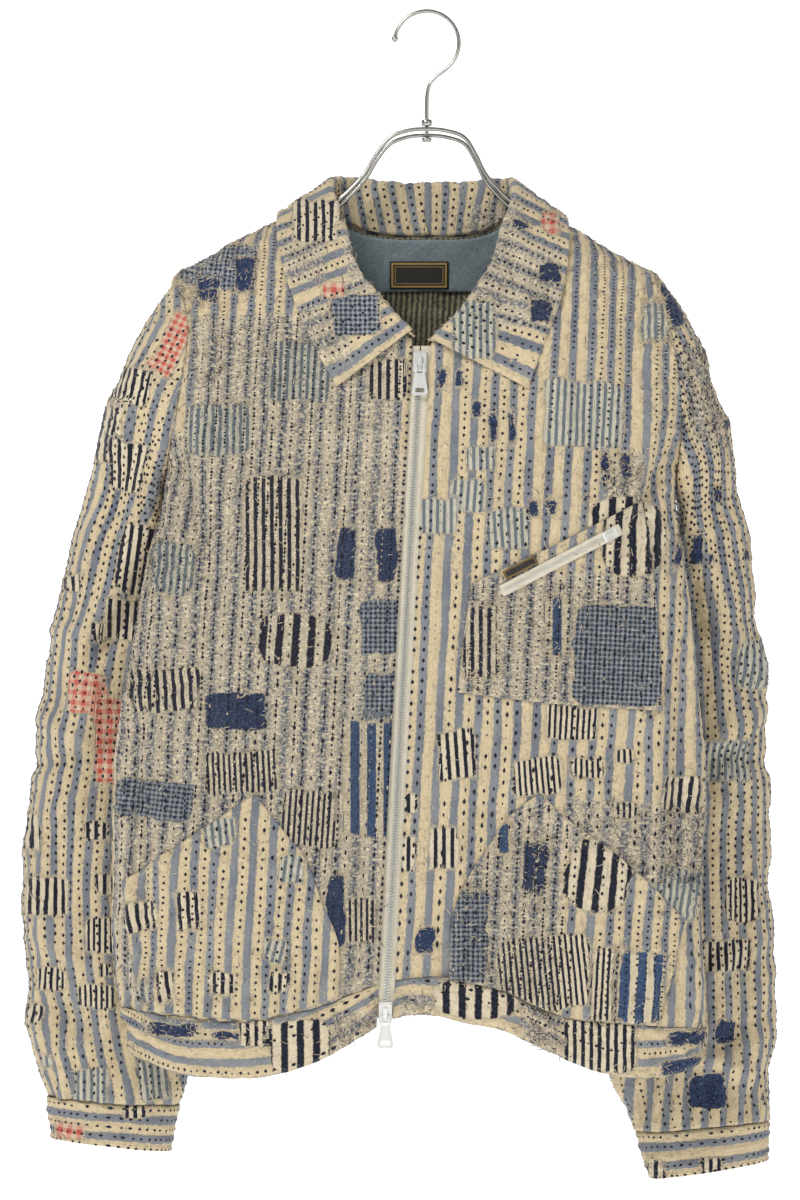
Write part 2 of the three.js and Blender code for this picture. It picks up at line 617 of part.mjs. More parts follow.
// Both front sliders sit in the channel between the folded edges and lean with the cloth.
const SLIDER_SINK = 1.2;
const BAR_Z = -BRIDGE.hole + SLIDER.bar / 2 + 0.35;
const BAR_OUT = SLIDER.thickness + SLIDER.gap / 2;
const lean = (z) => -Math.atan((frontY(z + 8) - frontY(z - 8)) / 16);
function frontSlider(name, z, tabLean) {
  const place = new THREE.Vector3(centreX(z), frontY(z) - SEAM / 2 + SLIDER_SINK, z);
  const slider = add(`zip_slider_${name}`, sliderGeometry(), 'zip_metal');
  slider.position.copy(place);
  slider.rotation.x = lean(z);
  const bar = new THREE.Vector3(0, -BAR_OUT, BAR_Z).applyAxisAngle(
    new THREE.Vector3(1, 0, 0), lean(z)).add(place);
  const tab = add(`zip_pull_${name}`, tabGeometry(), 'zip_metal');
  tab.position.copy(bar);
  tab.rotation.x = tabLean;
}
const TOP_SLIDER_Z = -285;
const LOW_SLIDER_Z = -799;
frontSlider('top', TOP_SLIDER_Z, lean(TOP_SLIDER_Z));
frontSlider('bottom', LOW_SLIDER_Z, 0);

// The chest zip's slider lies along its slanted zip.
const chestSlider = add('chest_zip_slider', sliderGeometry(), 'zip_metal');
const CHEST_SCALE = 0.72;
const CHEST_AT = 98;           // where the slider is shut, along the zip
const CHEST_GAP = 1.6;         // between the slider's middle and the tape
const [chestX, chestZ] = alongChestZip(CHEST_AT, 0);
chestSlider.scale.setScalar(CHEST_SCALE);
chestSlider.rotation.y = Math.PI / 2 - chestAngle;
chestSlider.position.set(
  chestX, bodyY('front', 'right', chestX, chestZ) - CLOTH / 2 - onChest - TAPE - CHEST_GAP, chestZ);

// Hanger: a hooked wire in a ferrule, and a front and a back rail of the same wire.
const WIRE_SIDES = 8;
const wireSection = new THREE.Shape(Array.from({ length: WIRE_SIDES }, (_, i) => {
  const angle = (2 * Math.PI * i) / WIRE_SIDES;
  return new THREE.Vector2(WIRE * Math.cos(angle), WIRE * Math.sin(angle));
}));
function wire(points, steps) {
  const path = new THREE.CatmullRomCurve3(points.map((p) => new THREE.Vector3(...p)));
  return new THREE.ExtrudeGeometry(
    wireSection, { steps, bevelEnabled: false, extrudePath: path });
}
const hookPoints = [];
for (let degrees = 172; degrees >= -52; degrees -= 16) {
  const angle = THREE.MathUtils.degToRad(degrees);
  hookPoints.push([RING * Math.cos(angle), 0, WIRE - RING + RING * Math.sin(angle)]);
}
hookPoints.push([7.5, 0, -51.5], [2.5, 0, -57.5], [0.4, 0, -66], [0, 0, -76], [0, 0, -86]);
const TIP_BALL = 2.7;
const ball = new THREE.SphereGeometry(TIP_BALL, 12, 8).translate(...hookPoints[0]);
add('hanger_hook', geometryOf(solid(wire(hookPoints, 40)).add(solid(ball))), 'hanger_steel');
const ferruleProfile = [[0, -104], [4, -104], [4, -101], [1.5, -101], [1.5, -91.4],
  [4.4, -91.4], [4.4, -86.3], [0, -86.3]];
add('hanger_ferrule', new THREE.LatheGeometry(
  ferruleProfile.map(([r, z]) => new THREE.Vector2(r, z)), 16).rotateX(Math.PI / 2),
'hanger_steel');
const RAIL_Y = 3.2;
const RAIL_DROP = 4.5;
const railRoute = [[-186, -217], [-158, -200.5], [-117, -181], [-90, -164.5], [-73, -152.6],
  [-58, -139], [-48.8, -128], [-39.2, -112.2], [-29, -100.5], [-15, -95.2], [0, -94],
  [15, -95.2], [30, -100.5], [39.2, -114], [47.2, -130], [58, -143], [69, -153.2],
  [85, -165], [109, -182.5], [142, -203], [170, -219]];
for (const [name, y, drop] of [['front', -RAIL_Y, 0], ['back', RAIL_Y, RAIL_DROP]]) {
  const rail = wire(railRoute.map(([x, z]) => [x, y, z - drop]), 36);
  add(`hanger_rail_${name}`, rail, 'hanger_steel');
}

export default jacket;
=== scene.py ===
import bpy
import numpy as np
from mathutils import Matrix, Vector


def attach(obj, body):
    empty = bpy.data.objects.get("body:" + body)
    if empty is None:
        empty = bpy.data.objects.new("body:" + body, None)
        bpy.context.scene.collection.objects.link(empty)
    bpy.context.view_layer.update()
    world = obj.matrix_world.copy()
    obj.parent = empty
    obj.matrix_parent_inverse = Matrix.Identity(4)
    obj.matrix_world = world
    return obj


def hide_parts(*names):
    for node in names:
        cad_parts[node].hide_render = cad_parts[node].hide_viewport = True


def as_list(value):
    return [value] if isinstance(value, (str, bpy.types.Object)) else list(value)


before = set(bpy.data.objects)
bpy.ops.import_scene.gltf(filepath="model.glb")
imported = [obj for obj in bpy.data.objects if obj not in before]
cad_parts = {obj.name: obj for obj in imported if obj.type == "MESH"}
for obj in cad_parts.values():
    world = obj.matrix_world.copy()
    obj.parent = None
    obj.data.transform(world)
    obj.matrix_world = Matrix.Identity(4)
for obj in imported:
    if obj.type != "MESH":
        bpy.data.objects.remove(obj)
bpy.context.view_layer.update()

# Camera, floor, backdrop and lights. The jacket hangs in front of a white wall over a pale floor,
# lit by two large soft boxes and a bright room, and is seen square on from about three metres.
camera = bpy.data.objects.new("camera", bpy.data.cameras.new("camera"))
bpy.context.collection.objects.link(camera)
camera.location = (-0.0216, -3.23, -0.474)
camera.rotation_euler = (np.pi / 2, 0, 0)
camera.data.sensor_width = 36
camera.data.lens = 120
bpy.context.scene.camera = camera
bpy.context.scene.view_settings.view_transform = "Standard"


def put(name, points, faces, look, corner_uv=None, patch_uv=None, marks=None, soft=True):
    """Makes a mesh object at the origin from points in millimetres and faces of equal corner
    number. UVs are given for each corner, marks for each point. Faces are turned to point out."""
    a, b, c = (points[faces[:, k]] for k in range(3))
    volume = np.einsum("ij,ij->i", a, np.cross(b, c)).sum()
    if faces.shape[1] == 4:
        d = points[faces[:, 3]]
        volume += np.einsum("ij,ij->i", a, np.cross(c, d)).sum()
    if volume < 0:
        faces = faces[:, ::-1]
        corner_uv = None if corner_uv is None else corner_uv[:, ::-1]
        patch_uv = None if patch_uv is None else patch_uv[:, ::-1]
    mesh = bpy.data.meshes.new(name)
    mesh.vertices.add(len(points))
    mesh.vertices.foreach_set("co", (points * 0.001).astype(np.float32).ravel())
    mesh.loops.add(faces.size)
    mesh.loops.foreach_set("vertex_index", faces.astype(np.int32).ravel())
    mesh.polygons.add(len(faces))
    starts = np.arange(len(faces), dtype=np.int32) * faces.shape[1]
    mesh.polygons.foreach_set("loop_start", starts)
    mesh.polygons.foreach_set("use_smooth", np.full(len(faces), soft))
    for layer, uv in (("cloth", corner_uv), ("patch", patch_uv)):
        if uv is not None:
            made = mesh.uv_layers.new(name=layer)
            made.data.foreach_set("uv", (uv * 0.001).astype(np.float32).ravel())
    for mark, values in (marks or {}).items():
        made = mesh.attributes.new(mark, "FLOAT", "POINT")
        made.data.foreach_set("value", values.astype(np.float32))
    mesh.update()
    mesh.validate()
    mesh.materials.append(look)
    piece = bpy.data.objects.new(name, mesh)
    bpy.context.collection.objects.link(piece)
    return piece


def plate(name, x, y, z, look):
    """A flat four-sided sheet: x, y and z each hold its four corners, in millimetres."""
    piece = put(name, np.array([x, y, z], float).T, np.array([[0, 1, 2, 3]]), look, soft=False)
    return piece


def plain(name, colour, roughness, metallic=0.0):
    """A material with one shader, and the shader itself."""
    look = bpy.data.materials.new(name)
    look.use_nodes = True
    shader = look.node_tree.nodes["Principled BSDF"]
    shader.inputs["Base Color"].default_value = (*colour, 1)
    shader.inputs["Roughness"].default_value = roughness
    shader.inputs["Metallic"].default_value = metallic
    return look, shader


studio, studio_shader = plain("studio_white", (0.9, 0.9, 0.9), 0.95)
studio_shader.inputs["Emission Color"].default_value = (1, 1, 1, 1)
studio_shader.inputs["Emission Strength"].default_value = 0.7
plate("floor", [-15000, 15000, 15000, -15000], [-15000, -15000, 9000, 9000], [-1150] * 4, studio)
plate("backdrop", [-15000, 15000, 15000, -15000], [9000] * 4, [-1150, -1150, 12000, 12000], studio)

world = bpy.data.worlds.new("room")
bpy.context.scene.world = world
world.use_nodes = True
world.node_tree.nodes["Background"].inputs["Color"].default_value = (1, 1, 1, 1)
world.node_tree.nodes["Background"].inputs["Strength"].default_value = 0.27
for name, place, size, watts in (
    ("key_box", (-1.2, -1.9, 1.5), 0.9, 42), ("fill_box", (1.9, -2.2, 0.1), 1.6, 10),
):
    lamp = bpy.data.objects.new(name, bpy.data.lights.new(name, "AREA"))
    bpy.context.collection.objects.link(lamp)
    lamp.data.size = size
    lamp.data.energy = watts
    lamp.location = place
    toward = Vector((0, 0, -0.45)) - lamp.location
    lamp.rotation_euler = toward.to_track_quat("-Z", "Y").to_euler()

# Cloth. The jacket is cut from a cream and grey-blue striped cotton, worn into holes, set with
# scraps of other cottons whose rims are frayed, and quilted all over with rows of running stitch.
# The stripes follow each piece's "cloth" UV (across, along), a scrap's own pattern its "patch" UV,
# and the "scrap" marks hold how far inside a scrap of that kind each point lies, in millimetres.


def dye(red, green, blue):
    """A colour from its 0 to 255 screen values, as the shader's linear ones."""
    value = np.array([red, green, blue]) / 255
    return (*np.where(value > 0.04, ((value + 0.055) / 1.055) ** 2.4, value / 12.92), 1)


def calc(tree, operation, *values, clamp=False):
    """A Math node on sockets or numbers."""
    made = tree.nodes.new("ShaderNodeMath")
    made.operation = operation
    made.use_clamp = clamp
    for slot, value in zip(made.inputs, values):
        if isinstance(value, (int, float)):
            slot.default_value = value
        else:
            tree.links.new(value, slot)
    return made.outputs[0]


def shade(tree, amount, first, second, way="MIX"):
    """A colour mixed from two, each a colour or a socket."""
    made = tree.nodes.new("ShaderNodeMix")
    made.data_type = "RGBA"
    made.blend_type = way
    for slot, value in zip((made.inputs[k] for k in (0, 6, 7)), (amount, first, second)):
        if isinstance(value, (int, float, tuple)):
            slot.default_value = value
        else:
            tree.links.new(value, slot)
    return made.outputs[2]


def point_of(tree, x, y):
    """A vector socket from two numbers, for a noise to read."""
    made = tree.nodes.new("ShaderNodeCombineXYZ")
    tree.links.new(x, made.inputs[0])
    tree.links.new(y, made.inputs[1])
    return made.outputs[0]


def cloud(tree, place, across, along, detail=2.0, shift=0.0):
    """Noise from 0 to 1 whose blots are about across by along millimetres."""
    scale = tree.nodes.new("ShaderNodeMapping")
    scale.inputs["Scale"].default_value = (1 / across, 1 / along, 1)
    scale.inputs["Location"].default_value = (shift, shift, shift)
    made = tree.nodes.new("ShaderNodeTexNoise")
    made.inputs["Detail"].default_value = detail
    made.inputs["Scale"].default_value = 1
    tree.links.new(place, scale.inputs["Vector"])
    tree.links.new(scale.outputs[0], made.inputs["Vector"])
    return made.outputs[0]


def stripe(tree, place, period, share, soft=0.08):
    """1 on the stripe and 0 off it: a triangle wave of the place, cut at the stripe's share."""
    wave = calc(tree, "MULTIPLY", calc(tree, "PINGPONG", place, period / 2), 2 / period)
    return calc(tree, "MULTIPLY_ADD", calc(tree, "SUBTRACT", share, wave), 1 / soft, 0.5,
                clamp=True)


def axes(tree, layer):
    """Across and along in millimetres from a UV map."""
    uv = tree.nodes.new("ShaderNodeUVMap")
    uv.uv_map = layer
    parts = tree.nodes.new("ShaderNodeSeparateXYZ")
    tree.links.new(uv.outputs[0], parts.inputs[0])
    return (calc(tree, "MULTIPLY", parts.outputs[0], 1000),
            calc(tree, "MULTIPLY", parts.outputs[1], 1000))


def mark(tree, name):
    """The number that a mesh keeps at each point under this name."""
    made = tree.nodes.new("ShaderNodeAttribute")
    made.attribute_name = name
    return made.outputs["Fac"]


def times(tree, first, second):
    """One value multiplied by another."""
    return calc(tree, "MULTIPLY", first, second)


def add(tree, *values):
    """The sum of the values."""
    total = values[0]
    for value in values[1:]:
        total = calc(tree, "ADD", total, value)
    return total


def level(tree, value, by, plus, clamp=False):
    """A value times one number plus another, kept from 0 to 1 where clamp says so."""
    return calc(tree, "MULTIPLY_ADD", value, by, plus, clamp=clamp)


def emboss(tree, shader, height, distance, strength=1.0):
    """Gives a shader the relief of a height, as deep as the distance in metres."""
    bump = tree.nodes.new("ShaderNodeBump")
    bump.inputs["Strength"].default_value = strength
    bump.inputs["Distance"].default_value = distance
    tree.links.new(height, bump.inputs["Height"])
    tree.links.new(bump.outputs[0], shader.inputs["Normal"])


SCRAPS = ("mend", "pale", "blue", "check", "ink", "indigo", "red")
CREAM = dye(216, 197, 160)
STRIPE = 15.2


def worn_stripes(tree, place, across, fade):
    """The base cotton and how far it is worn: blue-grey stripes on cream, rubbed away to pale and
    dark yarn where a fine noise and a broad one are both high."""
    blue_grey = shade(tree, level(tree, fade, 2.4, -0.7, True), dye(108, 115, 127),
                      dye(148, 151, 153))
    colour = shade(tree, stripe(tree, across, STRIPE, 0.43, 0.14), CREAM, blue_grey)
    fine = level(tree, cloud(tree, place, 2.6, 3.4, 4.0, 17.0), 6.0, -3.2, True)
    broad = level(tree, cloud(tree, place, 34, 46, 2.0, 21.0), 4.0, -1.6, True)
    worn = times(tree, fine, level(tree, broad, 0.6, 0.16))
    yarns = shade(tree, cloud(tree, place, 3.1, 3.1, 3.0, 23.0), dye(86, 94, 112),
                  dye(216, 200, 170))
    return shade(tree, worn, colour, yarns), worn


def darning(tree, place, across, fade):
    """Close darning and its mottle: cream yarn, with grey-blue yarn where the mottle and the old
    stripes are, and dark flecks."""
    grey = shade(tree, level(tree, fade, 3.0, -1.0, True), dye(98, 105, 120), dye(146, 147, 147))
    mottle = level(tree, cloud(tree, place, 3.2, 2.2, 3.0, 2.0), 7.0, -3.1, True)
    column = stripe(tree, across, STRIPE, 0.46, 0.3)
    amount = calc(tree, "ADD", times(tree, mottle, level(tree, column, 0.42, 0.24)),
                  times(tree, column, 0.4), clamp=True)
    fleck = level(tree, cloud(tree, place, 1.5, 2.6, 1.0, 12.0), 12.0, -7.4, True)
    darned = shade(tree, amount, dye(226, 210, 180), grey)
    return shade(tree, times(tree, fleck, 0.75), darned, dye(50, 56, 74)), mottle


def scrap_cottons(tree, across, along, speck):
    """The colour of each kind of scrap: stripes, or checks that are half the sum of stripes both
    ways, or one dye, and the dark dyes are worn paler in specks."""
    def checks(period, soft=0.08):
        """Half the sum of stripes both ways."""
        return times(tree, add(tree, stripe(tree, across, period, 0.5, soft),
                               stripe(tree, along, period, 0.5, soft)), 0.5)

    wear = level(tree, speck, 5.0, -2.7, True)
    return {
        "pale": shade(tree, stripe(tree, across, 5.4, 0.48, 0.2), dye(198, 193, 174),
                      dye(112, 119, 124)),
        "blue": shade(tree, stripe(tree, across, 13.0, 0.55), dye(214, 200, 170),
                      shade(tree, wear, dye(54, 78, 112), dye(118, 132, 150))),
        "check": shade(tree, checks(3.8, 0.2), dye(158, 164, 166), dye(32, 42, 68)),
        "ink": shade(tree, stripe(tree, across, 6.6, 0.46, 0.14), dye(220, 206, 178),
                     shade(tree, wear, dye(22, 24, 38), dye(52, 60, 88))),
        "indigo": shade(tree, wear, dye(38, 52, 84), dye(104, 114, 134)),
        "red": shade(tree, checks(8.0), dye(218, 192, 164), dye(200, 92, 80)),
    }


def boro(name="boro_cloth"):
    """The patched cloth: worn base stripes, then each kind of scrap over them where its mark is
    above 0, with a frayed rim where it is near 0, and the relief of yarn, darning and quilting."""
    look, shader = plain(name, (0.6, 0.56, 0.48), 0.93)
    tree = look.node_tree
    across, along = axes(tree, "cloth")
    place = point_of(tree, across, along)
    own_across, own_along = axes(tree, "patch")
    waver = level(tree, cloud(tree, place, 24, 60), 5.0, -2.5)
    tatter = level(tree, cloud(tree, place, 1.7, 3.4, 3.0, 14.0), 3.6, -1.8)
    across = add(tree, across, waver, tatter)
    own_across = add(tree, own_across, times(tree, waver, 0.25), times(tree, tatter, 0.3))
    yarn = cloud(tree, place, 0.7, 9, 2.0, 3.0)
    slub = cloud(tree, place, 7, 0.8, 2.0, 5.0)
    fade = cloud(tree, place, 30, 55, 2.0, 9.0)
    speck = cloud(tree, place, 1.6, 1.9, 3.0, 7.0)

    colour, worn = worn_stripes(tree, place, across, fade)
    cottons = scrap_cottons(tree, own_across, own_along, speck)
    cottons["mend"], mottle = darning(tree, place, across, fade)
    ragged = level(tree, speck, 3.4, -1.7)
    fringe = None
    for kind in SCRAPS:
        ragged_by, sharp = (3.4, 0.6) if kind == "mend" else (0.95, 2.2)
        inside = add(tree, mark(tree, "scrap_" + kind), times(tree, ragged, ragged_by))
        colour = shade(tree, level(tree, inside, sharp, 0.5, True), colour, cottons[kind])
        if kind != "mend":
            from_rim = calc(tree, "ABSOLUTE", add(tree, inside, 0.5))
            rim = calc(tree, "SUBTRACT", 1.0, from_rim, clamp=True)
            fringe = rim if fringe is None else calc(tree, "MAXIMUM", fringe, rim)
    colour = shade(tree, times(tree, fringe, 0.6), colour, dye(222, 206, 174))
    tone = add(tree, level(tree, yarn, 0.5, 0.72), level(tree, slub, 0.4, -0.2))
    grey = tree.nodes.new("ShaderNodeCombineColor")
    for slot in grey.inputs:
        tree.links.new(tone, slot)
    colour = shade(tree, 1.0, colour, grey.outputs[0], "MULTIPLY")
    lining = shade(tree, stripe(tree, across, 4.4, 0.5, 0.3), dye(150, 144, 116), dye(78, 76, 64))
    colour = shade(tree, mark(tree, "inner"), colour, lining)
    tree.links.new(colour, shader.inputs["Base Color"])

    darned_relief = times(tree, mottle, level(tree, mark(tree, "scrap_mend"), 0.05, 0.3, True))
    lumps = cloud(tree, place, 3.6, 5.0, 3.0, 27.0)
    puffs = stripe(tree, across, STRIPE / 2, 0.75, 0.6)
    relief = add(tree, times(tree, yarn, 0.25), times(tree, slub, 0.22), times(tree, fringe, 0.55),
                 darned_relief, times(tree, lumps, 1.1), times(tree, worn, 0.6),
                 times(tree, puffs, 0.45))
    emboss(tree, shader, relief, 0.0015)
    tree.links.new(level(tree, speck, 0.12, 0.86), shader.inputs["Roughness"])
    shader.inputs["Sheen Weight"].default_value = 0.25
    shader.inputs["Sheen Roughness"].default_value = 0.5
    shader.inputs["Specular IOR Level"].default_value = 0.2
    return look


def thread(name="thread_cotton"):
    """Twisted cotton: each stitch's own tone picks one of five dyes; fine noise is its twist."""
    look, shader = plain(name, (0.1, 0.1, 0.14), 0.85)
    tree = look.node_tree
    dyes = tree.nodes.new("ShaderNodeValToRGB")
    stops = dyes.color_ramp.elements
    dyes.color_ramp.interpolation = "CONSTANT"
    for at, colour in ((0.0, dye(26, 28, 44)), (0.45, dye(48, 56, 84)), (0.62, dye(98, 100, 116)),
                       (0.7, dye(206, 190, 160)), (0.86, dye(232, 218, 190))):
        stop = stops.new(at) if at else stops[0]
        stop.color = colour
    stops.remove(stops[-1])
    tree.links.new(mark(tree, "tone"), dyes.inputs[0])
    tree.links.new(dyes.outputs[0], shader.inputs["Base Color"])
    twist = tree.nodes.new("ShaderNodeTexNoise")
    twist.inputs["Scale"].default_value = 1600
    tree.links.new(tree.nodes.new("ShaderNodeTexCoord").outputs["Object"], twist.inputs["Vector"])
    emboss(tree, shader, twist.outputs[0], 0.0002)
    return look


boro_cloth = boro()
thread_cotton = thread()


def through(knots):
    """A smooth function through [place, value] knots: Hermite pieces with Catmull-Rom slopes."""
    k = np.array(knots, float)
    k = k[np.argsort(k[:, 0])]
    x, v = k[:, 0], k[:, 1]
    step = np.arange(len(x))
    low, high = np.maximum(step - 1, 0), np.minimum(step + 1, len(x) - 1)
    slope = (v[high] - v[low]) / (x[high] - x[low])

    def value(at):
        """The piece's straight line, plus the bend that its two slopes give it."""
        i = np.clip(np.searchsorted(x, at, side="right") - 1, 0, len(x) - 2)
        h = x[i + 1] - x[i]
        t = np.clip((at - x[i]) / h, 0, 1)
        rise = v[i + 1] - v[i]
        bend = t * (1 - t) * ((1 - t) * (slope[i] * h - rise) - t * (slope[i + 1] * h - rise))
        return v[i] + t * rise + bend
    return value


def route(points):
    """A smooth path through points, run from 0 to 1 by the length of its chords."""
    p = np.array(points, float)
    at = np.r_[0, steps_of(p).cumsum()]
    parts = [through(np.c_[at / at[-1], p[:, j]]) for j in range(p.shape[1])]
    return lambda t: np.stack([part(t) for part in parts], -1)


def mix(a, b, t):
    """From a to b: a plus t times their difference."""
    return a + (b - a) * t


def unit(way):
    """Directions with a length of one: each divided by its own length."""
    return way / np.linalg.norm(way, axis=-1, keepdims=True)


def steps_of(path, axis=0):
    """The length of each step from a path's point to the next."""
    return np.linalg.norm(np.diff(path, axis=axis), axis=-1)


# Body. Two fronts and a back follow flattened round sections, all functions of height in mm: the
# cloth's depth is a superellipse of how far across it lies, as a share of the half-width there.
# Folds are soft troughs and ridges, each along one line and fading at both ends.
NECK_Z, V_Z, ARCH_BACK, UNDERARM_Z = -149, -268, -179, -370
SEAM, CLOTH, THIN_CLOTH, ZIP_HALF = 0.6, 2.0, 1.4, 6.3
UNDERARM_SHARE, ZIP_SHARE, NECK_SHARE, BACK_NECK_SHARE = 0.72, 0.79, 0.21, 0.4
ROWS_APART, STITCH_PITCH, FINE_PUCKERS = STRIPE / 2, 5.8, (11, 19, 43)
side_x = {
    "left": through([[NECK_Z, -81], [-168, -117], [-188, -158], [-207, -190], [-217, -201.5],
        [-232, -210], [-262, -217], [-295, -221], [-330, -218], [-355, -212], [-370, -209.5],
        [-407, -213], [-442, -223], [-507, -234], [-574, -245.5], [-620, -249.5], [-700, -250],
        [-748, -251], [-789, -246], [-818, -241], [-860, -232]]),
    "right": through([[NECK_Z, 75], [-170, 109], [-190, 142], [-204, 168], [-213, 185],
        [-228, 201], [-258, 215], [-290, 220], [-320, 218], [-350, 208], [-370, 201],
        [-395, 198.5], [-436, 204], [-507, 213], [-558, 217], [-599, 221.5], [-640, 222.5],
        [-685, 219], [-736, 218], [-777, 221], [-830, 221], [-860, 217]]),
}
arm_x = {
    "left": through([[-217, -201.5], [-247, -191], [-278, -192], [-319, -198.5], [-355, -206.5],
        [-370, -209.5]]),
    "right": through([[-213, 185], [-235, 189], [-258, 194], [-302, 202], [-340, 204],
        [-370, 201]]),
}
tip_z = {"left": -217, "right": -213}
turned = {"left": -1, "right": 1}
front_y = through([[NECK_Z, -12], [-170, -26], [-200, -39], [-240, -48], [V_Z, -53], [-320, -60],
    [-400, -68], [-500, -74], [-620, -78], [-740, -79], [-800, -76], [-860, -70]])
back_y = through([[NECK_Z, 14], [-170, 26], [-200, 35], [-240, 39], [-320, 43], [-450, 47],
    [-600, 51], [-740, 52], [-800, 49], [-860, 44]])
side_y = through([[NECK_Z, 0], [-250, 0], [UNDERARM_Z, -4], [-392, -10], [-415, -16],
    [-450, -24], [-500, -30], [-860, -28]])
back_power = through([[NECK_Z, 2.4], [UNDERARM_Z, 2.4], [-415, 2.0], [-500, 1.65], [-860, 1.65]])
seam_z = through([[-250, -797], [-227, -800], [-178, -805], [-146, -807], [-119, -803.5],
    [-86, -795], [-56, -783], [-33, -775], [5, -771], [30, -775], [60, -783], [81, -793],
    [109, -804], [142, -808], [172, -811], [222, -815]])
hem_z = through([[-250, -828], [-239, -834], [-211, -847], [-190, -851], [-144, -852],
    [-117, -848], [-86, -838], [-66, -827], [-48, -816], [-33, -807], [-20, -802], [5, -802],
    [30, -808], [60, -814], [90, -828], [122, -842], [148, -850], [182, -853], [205, -849],
    [222, -840]])
neckline = {
    "left": route([[-12, -267], [-37, -250], [-62, -222], [-77, -190], [-82, -163], [-81, NECK_Z]]),
    "right": route([[3, -270], [34, -252], [57, -224], [71, -192], [76, -163], [75, NECK_Z]]),
}
back_neckline = {
    "left": route([[1, ARCH_BACK], [-25, ARCH_BACK], [-52, -175], [-71, -165], [-81, NECK_Z]]),
    "right": route([[1, ARCH_BACK], [26, ARCH_BACK], [50, -175], [66, -165], [75, NECK_Z]]),
}


def centre_x(z):
    """The zip's line, which leans: -5 at the V, and 0.0531 mm across for each mm of height."""
    return -5 + (z - V_Z) * 0.0531


def half_x(side, z):
    """From the centre line to the side seam, so it is less than 0 on the left."""
    return side_x[side](z) - centre_x(z)


def body_y(front, x, z):
    """Depth at x, z: from the side seam's depth to the middle's by (1 - share^p)^(1/p)."""
    reach = np.where(x < centre_x(z), half_x("left", z), half_x("right", z))
    share = np.clip((x - centre_x(z)) / reach, 0, 1)
    power = 2.8 if front else back_power(z)
    middle = front_y(z) if front else back_y(z)
    edge = side_y(z) + (-SEAM / 2 if front else SEAM / 2)
    return edge + (middle - side_y(z)) * (1 - share ** power) ** (1 / power)


def round_way(front, x, z):
    """Length of the cloth's level section from the centre line to x, as short straight steps."""
    run = np.linspace(0, 1, 26)
    xs = centre_x(z)[..., None] + (x - centre_x(z))[..., None] * run
    ys = body_y(front, xs, np.broadcast_to(z[..., None], xs.shape))
    way = np.hypot(np.diff(xs), np.diff(ys)).sum(-1)
    return np.sign(x - centre_x(z)) * way


def within(bottom, top, inner, outer):
    """A Coons patch: the sum of both ruled blends of four edges, less the blend of corners."""
    def place(a, v):
        a, v = a[..., None], v[..., None]
        b, t, i, o = bottom(a[..., 0]), top(a[..., 0]), inner(v[..., 0]), outer(v[..., 0])
        zero, one = np.zeros(1), np.ones(1)
        return ((1 - v) * b + v * t + (1 - a) * i + a * o
                - (1 - a) * (1 - v) * inner(zero) - a * (1 - v) * outer(zero)
                - (1 - a) * v * inner(one) - a * v * outer(one))
    return place


def at_share(side, share, height):
    """A point of a hem: its height is read from one guide line, so both edges keep their share."""
    guide = centre_x(-820.0) + share * half_x(side, -820.0)
    z = height(guide)
    return np.stack([centre_x(z) + share * half_x(side, z), z], -1)


def shoulder(side):
    """The shoulder seam, from the neck to the shoulder's tip, at equal steps of height."""
    def place(a):
        z = mix(NECK_Z, tip_z[side], a)
        return np.stack([side_x[side](z), z], -1)
    return place


def outer_edge(side, bottom):
    """Up the side seam to the underarm, then round the armhole to the shoulder's tip."""
    def place(v):
        seam = mix(bottom, UNDERARM_Z, v / UNDERARM_SHARE)
        arm = mix(UNDERARM_Z, tip_z[side], (v - UNDERARM_SHARE) / (1 - UNDERARM_SHARE))
        z = np.where(v < UNDERARM_SHARE, seam, arm)
        return np.stack([np.where(v < UNDERARM_SHARE, side_x[side](z), arm_x[side](z)), z], -1)
    return place


def start_share(side, z):
    """The folded edge by the zip, as a share of the half-width."""
    return ZIP_HALF / abs(half_x(side, z))


def front_shape(side):
    """A front's outline: the hem seam below, the shoulder above, and the zip's edge with the
    neckline inside."""
    def bottom(a):
        """Along the hem seam, at equal shares of the half-width."""
        place = at_share(side, mix(start_share(side, -775.0), 1, a), seam_z)
        return place + [0, SEAM / 2]
    low = bottom(np.zeros(1))[0]
    corner = neckline[side](np.zeros(1))[0]

    def inner(v):
        """Up the zip's edge in a straight line, then round the neckline."""
        straight = mix(low, corner, v[..., None] / ZIP_SHARE)
        curve = neckline[side]((v - ZIP_SHARE) / NECK_SHARE)
        return np.where(v[..., None] < ZIP_SHARE, straight, curve)
    return within(bottom, shoulder(side), inner, outer_edge(side, bottom(np.ones(1))[0, 1]))


def crowded(s):
    """Steps from 0 to 1 that crowd towards 1, where a section turns its corner."""
    return np.sin(s * np.pi / 2) ** 0.9


def mesh_grid(columns, rows):
    """Shares across and up, from 0 to 1, for a grid of this many squares."""
    return np.meshgrid(np.linspace(0, 1, columns + 1), np.linspace(0, 1, rows + 1))


def normals(points, closed=False):
    """Unit cross products of the differences between each point's neighbours."""
    if closed:
        ring = points[:, :-1]
        across = np.roll(ring, -1, 1) - np.roll(ring, 1, 1)
        across = np.concatenate([across, across[:, :1]], 1)
    else:
        across = np.gradient(points, axis=1)
    n = np.cross(np.gradient(points, axis=0), across)
    return n / np.maximum(np.linalg.norm(n, axis=-1, keepdims=True), 1e-9)


